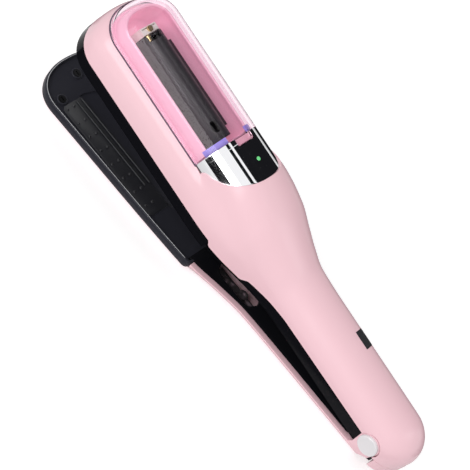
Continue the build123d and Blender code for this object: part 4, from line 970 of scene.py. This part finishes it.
class TRIMMER_OT_arm_tray(bpy.types.Operator):
    """Black tray at the arm's head, with its bosses and channel, and a pale grey bead along its rim
    that paints the rim's highlight
    """

    bl_idname = "trimmer.arm_tray"
    bl_label = "Arm tray"

    def execute(self, context):
        floor = RIM - 2.0
        outside = [(1.6, -6.0), (0.8, -5.75), (0.3, -5.2), (0.05, -4.4)]
        outside += fillet(0.55, RIM)
        inside = [(1.0, RIM), (1.3, RIM - 0.12), (1.4, RIM - 0.4), (1.5, floor + 0.4),
                  (1.65, floor + 0.1), (2.0, floor)]
        tray = Mesh().tube(levels(arm_ring, outside + inside)).solid("arm_tray_skin", False)
        y, deep = 7.2, floor - 1.0
        channel = np.array([(22.5, y), (90, y), (90, -y), (19.5, -y), (19.5, -y + 3)])
        mouth = block(112, 120, -18.6, 18.6, floor, 3).solid("mouth", False)
        cut(tray, prism(channel, deep, 1.0).solid("channel", False), mouth)
        soften(tray, 0.2)
        own(tray, "arm", "tray_black", "arm_tray")
        # The bead along the tray's rim is pale grey: a painted highlight for the light that the
        # rim's edge catches.
        line = ((0.62, RIM - 0.1), (0.66, RIM + 0.06), (0.8, RIM + 0.13), (0.94, RIM + 0.06),
                (0.98, RIM - 0.1))
        way = []
        for inset, z in line:
            ring = arm_ring(inset)
            ring = np.roll(ring, len(ring) // 2 - TIP_COUNT // 2, 0)
            way.append(level(ring[ring[:, 0] < TRAY_END - 3.5], z))
        bead = Mesh().tube(np.stack(way, 1)).solid("rim_line", False)
        settle(bead, 60)
        own(bead, "arm", "tray_black", finish="rim_grey")
        profile = [(2.0, floor - 0.3), (2.0, floor + 0.6), (2.1, floor + 0.8), (2.3, floor + 0.9),
                   (2.6, floor + 0.9), (2.85, floor + 0.75), (2.95, floor + 0.4),
                   (3.1, floor - 0.3), (2.0, floor - 0.3)]
        bosses = Mesh()
        for x, y in BOSSES:
            bosses.grid(turned(profile, 48) + (x, y, 0), loop=True)
        bosses = bosses.solid("tray_bosses", False)
        settle(bosses, 50)
        own(bosses, "arm", "tray_black")
        return {"FINISHED"}


class TRIMMER_OT_grip_pads(bpy.types.Operator):
    """Ribbed pads of the tray: two raised lines and rows of paired nubs on each side"""

    bl_idname = "trimmer.grip_pads"
    bl_label = "Grip pads"

    def execute(self, context):
        low = RIM - 1.98
        plate = np.array([(20.4, 7.7), (88.0, 7.7), (88.0, 19.4), (86.2, 21.2), (22.2, 21.2),
                          (20.4, 19.4)])
        plate = levels(shrunk_box(plate), [(0.0, low), (0.0, low + 0.25), (0.15, low + 0.4)])
        line = [(0.42, low + 0.1), (0.40, low + 0.75), (0.3, low + 0.95), (0.16, low + 1.02)]
        turn = np.linspace(0, np.pi / 2, 5)[:-1]
        nub = [(0.8 * np.cos(t), low + 0.35 + 0.62 * np.sin(t)) for t in turn]
        nub = turned([(0.8, low + 0.1)] + nub + [(0.12, low + 0.97)], 14)
        for side, name in ((-1, "left"), (1, "right")):
            mesh = Mesh().tube(plate)
            for y in LINE_PLACES:
                mesh.tube(levels(lambda radius: capsule(21.0, 73.6, y, radius), line))
            for row in range(NUB_ROWS):
                for y in NUB_PLACES:
                    mesh.tube(nub + (NUB_START + row * NUB_PITCH, y, 0))
            mesh.points = [p * (1, side, 1) for p in mesh.points]
            pad = mesh.solid("grip_pad_" + name + "_ribbed", False)
            settle(pad, 40)
            own(pad, "arm", "pad_black", "grip_pad_" + name)
        return {"FINISHED"}


class TRIMMER_OT_arm_liner(bpy.types.Operator):
    """Black inner face of the arm, with the lock's oval recess"""

    bl_idname = "trimmer.arm_liner"
    bl_label = "Arm liner"

    def execute(self, context):
        top = RIM - 0.1
        sides = np.arange(121.0, 223, 2)
        rows = [(3.2, top - 2.0)] + [(3.2 + inset, z) for inset, z in fillet(0.35, top)]
        rings = levels(lambda inset: plan_ring(inset, LINER_END, END_REACH, sides,
                                               TRAY_END - 3.0), rows)
        liner = Mesh().tube(rings).solid("arm_liner_skin", False)
        x, y, long, wide = RECESS
        ring = capsule(x - long / 2, x + long / 2, y, wide / 2, 24)
        cut(liner, prism(ring, -8.0, 2.0).solid("recess", False))
        soften(liner, 0.25)
        own(liner, "arm", "tray_black", "arm_liner", finish="liner_black")
        return {"FINISHED"}


def window_ring(inset):
    """The window's outline in plan drawn inwards, with a square end that draws in a third."""
    end, count = CHAMBER_END - (inset - CHAMBER_INSET) / 3, 40
    along, across = seam_shares()
    half = SEAM_HALF - inset
    tip = np.stack([TIP_LENGTH - (TIP_LENGTH - SEAM_TIP - inset) * along, half * across], -1)
    side = np.stack([np.linspace(TIP_LENGTH + 1, end, count), np.full(count, half)], -1)
    return np.concatenate([tip, side, side[::-1] * (1, -1)])


def risen(lift, across, up):
    """Rows of (inset, height) on an ellipse above the seam, at each angle of lift."""
    return list(zip(SEAM_HALF - across * np.cos(lift), SEAM_Z + up * np.sin(lift)))


class TRIMMER_OT_chamber(bpy.types.Operator):
    """Lilac-pink clippings tray under the window, its wall rising along the dome"""

    bl_idname = "trimmer.chamber"
    bl_label = "Clippings chamber"

    def execute(self, context):
        lift = np.linspace(0, 0.46, 8)
        rows = [(CHAMBER_INSET, 20.9), (CHAMBER_INSET, 21.45), (3.0, 21.6)]
        rows += risen(lift, *WALL_OUTER)
        rows += [(5.2, 28.12), (5.6, 28.12), (5.95, 27.85)]
        rows += risen(lift[::-1] * 0.97, *WALL_INNER)
        rows += [(5.9, 15.4), (6.4, 13.9), (7.3, 13.1), (8.4, 12.8)]
        under = [(7.6, 11.9), (6.4, 12.2), (5.4, 13.4), (4.9, 15.2), (3.9, 20.0), (2.6, 20.7)]
        grid, below = levels(window_ring, rows), levels(window_ring, under)
        mesh = Mesh().grid(grid, loop=True).cap(grid[-1])
        mesh.grid(below + [grid[0]], loop=True).cap(below[0], flip=True)
        tray = mesh.solid("chamber_tray_skin")
        hole = block(20.7, 84, -7.1, 7.1, 5, 20).solid("housing_gap")
        mouth = block(80.6, 84, -14.2, 14.2, SEAM_Z + 0.3, 30).solid("light_gap")
        cut(tray, hole, mouth)
        settle(tray, 50)
        own(tray, "body", "tray_lilac", "chamber_tray")
        return {"FINISHED"}


class TRIMMER_OT_housing(bpy.types.Operator):
    """Black arched housing of the cutting drum, with its keyhole slot"""

    bl_idname = "trimmer.housing"
    bl_label = "Cutter housing"

    def execute(self, context):
        half, top, foot = HOUSING_HALF, HOUSING_TOP, HOUSING_FOOT
        turn = np.linspace(0, np.pi, 61)
        arch = np.stack([-half * np.cos(turn), top - half + half * np.sin(turn)], -1)
        ring = np.concatenate([[(-half, foot)], arch, [(half, foot)]])
        shrunk, soft = ring.copy(), 0.955
        shrunk[:, 0] *= soft
        shrunk[1:-1, 1] = top - half + (ring[1:-1, 1] - top + half) * soft
        middle = (ring + shrunk) / 2
        ends = [(21.0, shrunk), (21.12, middle), (21.35, ring), (79.65, ring), (79.88, middle),
                (80.0, shrunk)]
        body = Mesh().tube([upright(r, x) for x, r in ends]).solid("cutter_housing_skin")
        inner = ring.copy()
        inner[:, 0] *= (half - HOUSING_WALL) / half
        inner[:, 1] -= HOUSING_WALL
        bore = Mesh().tube([upright(inner, x) for x in (22.2, 78.8)]).solid("bore")
        keyhole = prism(capsule(70.2, 76.4, -2.2, 1.9, 16), 27.0, 32.0).solid("keyhole")
        notch = block(20, 24.4, -5.2, 1.8, 24.0, 32).solid("front_notch")
        cut(body, bore, keyhole, notch)
        settle(body, 35)
        own(body, "body", "housing_black", "cutter_housing")
        pin = [(0.1, 0), (1.1, 0.0), (1.3, 0.2), (1.3, 1.5), (0.9, 1.7), (0.9, 3.0), (0.1, 3.1)]
        ring = moved(turned(pin, 32), (20.9, -3.3, 25.4), (0, 0, 1), (1, 0, 0))
        pin = Mesh().tube(ring).solid("bearing_pin")
        settle(pin)
        own(pin, "body", "brass_fitting")
        return {"FINISHED"}


class TRIMMER_OT_front_bearing(bpy.types.Operator):
    """Off-white bearing block near the tip, with a dark slot along its front"""

    bl_idname = "trimmer.front_bearing"
    bl_label = "Front bearing"

    def execute(self, context):
        half, top, x0, x1 = BEARING_HALF, BEARING_TOP, BEARING_START, BEARING_END
        ring = np.array([(x0, -half), (x1, -half), (x1, half), (x0, half)])
        rows = [(0, 2.1), (0, top - 0.5), (0.15, top - 0.15), (0.5, top)]
        made = Mesh().tube(levels(shrunk_box(ring), rows)).solid("front_bearing_block")
        edge = half - 0.8
        cut(made, block(x0 + 0.7, x0 + 1.3, -edge, edge, top - 1.4, top + 2).solid("slot"),
            block(x0 - 1, x1 + 1, -1.53, 1.53, 0, 9.3).solid("shaft_way"))
        settle(made, 30)
        own(made, "body", "bearing_white", "front_bearing")
        return {"FINISHED"}


class TRIMMER_OT_chamber_lamps(bpy.types.Operator):
    """Violet light arcs under the window's lower edge, one on each side of the tab"""

    bl_idname = "trimmer.chamber_lamps"
    bl_label = "Chamber lamps"

    def execute(self, context):
        mesh = Mesh()
        section = [(80.4, 2.5), (83.2, 2.5), (83.4, 2.7), (83.4, 3.6), (80.6, 3.6), (80.4, 3.4)]
        for low, high in ((0.36, 1.17), (np.pi - 1.17, np.pi - 0.36)):
            turn = np.linspace(low, high, 40)
            grid = np.stack([window_point(np.full(40, x), turn, inset) for x, inset in section], 1)
            mesh.tube(grid)
        made = mesh.solid("chamber_light_arcs")
        settle(made, 50)
        own(made, "body", "lamp_violet", "chamber_lamps")
        return {"FINISHED"}


def turned_up(direction):
    """A direction in the body's axes, turned up with the opened body."""
    x, y, z = direction
    c, s = np.cos(OPEN_ANGLE), np.sin(OPEN_ANGLE)
    return Vector((x * c + z * s, y, z * c - x * s))


VIEW_CENTRE = np.array([120.3, -2.04, -1.83])
VIEW_WIDTH = 0.2218
VIEW_FAR = 1.23
VIEW_ACROSS = np.array([0.0, 0.743, 0.669])
VIEW_ALONG = (0.555, 0.832)


def make_camera():
    """A long-lens camera at the photograph's angle: the body's x axis runs right and down."""
    a, b = VIEW_ALONG
    along = np.array([1.0, 0, 0])
    right = turned_up(a * along + b * VIEW_ACROSS).normalized()
    up = turned_up(-b * along + a * VIEW_ACROSS)
    back = right.cross(up).normalized()
    up = back.cross(right)
    data = bpy.data.cameras.new("camera")
    data.sensor_width, data.lens = 36, 36 * VIEW_FAR / VIEW_WIDTH
    data.clip_start, data.clip_end = 0.05, 50
    eye = bpy.data.objects.new("camera", data)
    turn = Matrix((right, up, back)).transposed().to_4x4()
    eye.matrix_world = Matrix.Translation(Vector(place(VIEW_CENTRE, True)) + back * VIEW_FAR) @ turn
    bpy.context.scene.collection.objects.link(eye)
    bpy.context.scene.camera = eye


def lamp(name, place_at, size, power):
    """A soft square lamp that looks at the object."""
    data = bpy.data.lights.new(name, "AREA")
    data.shape, data.size, data.energy = "SQUARE", size, power
    made = bpy.data.objects.new(name, data)
    look = (Vector((0, 0, 0.03)) - Vector(place_at)).to_track_quat("-Z", "Y")
    made.matrix_world = Matrix.Translation(place_at) @ look.to_matrix().to_4x4()
    bpy.context.scene.collection.objects.link(made)


def stage_mesh(name, points, faces, material):
    """A flat piece of the stage."""
    mesh = bpy.data.meshes.new(name)
    mesh.from_pydata(points, [], faces)
    mesh.materials.append(material)
    made = bpy.data.objects.new(name, mesh)
    bpy.context.scene.collection.objects.link(made)
    return made


def bare_material(name):
    """A material with nothing but its output, with its tree and that output's socket."""
    material = bpy.data.materials.new(name)
    material.use_nodes = True
    tree = material.node_tree
    tree.nodes.clear()
    return material, tree, tree.nodes.new("ShaderNodeOutputMaterial").inputs[0]


def floor_finish():
    """Pale floor: diffuse, with a camera-ray glow that brings its lit part to white."""
    material, tree, out = bare_material("pale_floor")
    plain = tree.nodes.new("ShaderNodeBsdfDiffuse")
    plain.inputs["Color"].default_value = (0.86, 0.86, 0.86, 1)
    glow = tree.nodes.new("ShaderNodeEmission")
    path = tree.nodes.new("ShaderNodeLightPath")
    both = tree.nodes.new("ShaderNodeAddShader")
    seen = value_node(tree, "MAXIMUM", path.outputs["Is Camera Ray"],
                      path.outputs["Is Transmission Ray"])
    tree.links.new(value_node(tree, "MULTIPLY", seen, 0.45), glow.inputs["Strength"])
    tree.links.new(plain.outputs[0], both.inputs[0])
    tree.links.new(glow.outputs[0], both.inputs[1])
    tree.links.new(both.outputs[0], out)
    return material


def card_finish():
    """Dark card, seen only in reflections."""
    material, tree, out = bare_material("dark_card")
    plain = tree.nodes.new("ShaderNodeEmission")
    plain.inputs["Color"].default_value = (0.01, 0.01, 0.012, 1)
    tree.links.new(plain.outputs[0], out)
    return material


def make_world():
    """White where it is seen straight on, in gloss or through glass, and softer as a light."""
    world = bpy.data.worlds.new("world")
    bpy.context.scene.world = world
    world.use_nodes = True
    tree = world.node_tree
    path = tree.nodes.new("ShaderNodeLightPath")
    seen = value_node(tree, "MAXIMUM", path.outputs["Is Camera Ray"],
                      path.outputs["Is Glossy Ray"])
    seen = value_node(tree, "MAXIMUM", seen, path.outputs["Is Transmission Ray"])
    level = value_node(tree, "ADD", value_node(tree, "MULTIPLY", seen, 0.45), 0.55)
    tree.links.new(level, tree.nodes["Background"].inputs["Strength"])
    tree.nodes["Background"].inputs["Color"].default_value = (1, 1, 1, 1)


# Dark cards round the body's axis: angles from straight up towards +y, and their span along x.
CARDS = (
    (2, 86, -150, 420, True),
    (-12, -4, -150, 420, True),
    (-87, -59, 68, 93, False),
)
CARD_FAR = 450.0
# The floor, in metres: half its side, its gap below the object, and the dark strips on it with
# their lift and their reach from and to across
FLOOR_HALF, FLOOR_GAP, CARD_LIFT = 3, 0.0002, 0.002
FLOOR_CARDS = ((0.03, 0.45), (-0.085, -0.03))


def add_card(name, points, finish, through):
    """A dark card that only reflections see, and rays through the window where asked."""
    faces = [(i, i + 1, i + 3, i + 2) for i in range(0, len(points) - 2, 2)]
    card = stage_mesh(name, points, faces, finish)
    card.visible_camera = card.visible_diffuse = card.visible_shadow = False
    card.visible_transmission, card.visible_volume_scatter = through, False


class TRIMMER_OT_stage(bpy.types.Operator):
    """Floor, camera, soft lamps and the dark cards that the chrome mirrors"""

    bl_idname = "trimmer.stage"
    bl_label = "Stage"

    def execute(self, context):
        make_camera()
        make_world()
        level = context.scene.trimmer.light
        lamp("key_lamp", (-0.4, -1.4, 1.2), 1.1, 14.5 * level)
        lamp("fill_lamp", (0.9, 0.6, 1.6), 1.2, 5 * level)
        z = cad_box[0][2] - FLOOR_GAP
        corners = [(x * FLOOR_HALF, y * FLOOR_HALF, z)
                   for x, y in ((-1, -1), (1, -1), (1, 1), (-1, 1))]
        stage_mesh("floor", corners, [(0, 1, 2, 3)], floor_finish())
        dark = card_finish()
        for number, (low, high, x0, x1, through) in enumerate(CARDS):
            turn = np.radians(np.linspace(low, high, 24))
            arc = np.stack([np.sin(turn), np.cos(turn)], -1) * CARD_FAR + (0, SEAM_Z)
            points = place([(x, y, h) for y, h in arc for x in (x0, x1)], True)
            add_card(f"card_{number}", points, dark, through)
        for number, (near, far) in enumerate(FLOOR_CARDS):
            points = [(x, y, z + CARD_LIFT) for y in (near, far) for x in (-0.2, 0.3)]
            add_card(f"floor_card_{number}", points, dark, False)
        return {"FINISHED"}


class TRIMMER_OT_carried(bpy.types.Operator):
    """Finishes for the CAD parts that keep their own shape"""

    bl_idname = "trimmer.carried"
    bl_label = "Carried-over parts"

    def execute(self, context):
        for row in frame["record"]["subparts"]:
            node, slot = row["node"], row["material_slot"]
            dress(frame["nodes"][node], NODE_FINISH.get(node) or SLOT_FINISH.get(slot, slot))
        return {"FINISHED"}


class TRIMMER_PT_panel(bpy.types.Panel):
    """Lists the trimmer's pieces"""

    bl_idname = "TRIMMER_PT_panel"
    bl_label = "Trimmer"
    bl_space_type = "VIEW_3D"
    bl_region_type = "UI"
    bl_category = "Trimmer"

    def draw(self, context):
        values = context.scene.trimmer
        for name in values.__annotations__:
            self.layout.prop(values, name)
        for step in STEPS:
            self.layout.operator(step.bl_idname)


STEPS = (
    TRIMMER_OT_carried, TRIMMER_OT_upper_shell, TRIMMER_OT_window, TRIMMER_OT_trim_panel,
    TRIMMER_OT_chamber, TRIMMER_OT_housing, TRIMMER_OT_front_bearing, TRIMMER_OT_chamber_lamps,
    TRIMMER_OT_arm_cover, TRIMMER_OT_arm_tray, TRIMMER_OT_grip_pads, TRIMMER_OT_arm_liner,
    TRIMMER_OT_stage,
)
CLASSES = (TrimmerSettings, *STEPS, TRIMMER_PT_panel)


def register():
    for entry in CLASSES:
        bpy.utils.register_class(entry)
    bpy.types.Scene.trimmer = bpy.props.PointerProperty(type=TrimmerSettings)


def unregister():
    del bpy.types.Scene.trimmer
    for entry in reversed(CLASSES):
        bpy.utils.unregister_class(entry)


def main():
    register()
    bpy.context.scene.view_settings.view_transform = "Standard"
    for step in STEPS:
        group, name = step.bl_idname.split(".")
        getattr(getattr(bpy.ops, group), name)()


if __name__ == "__main__":
    main()
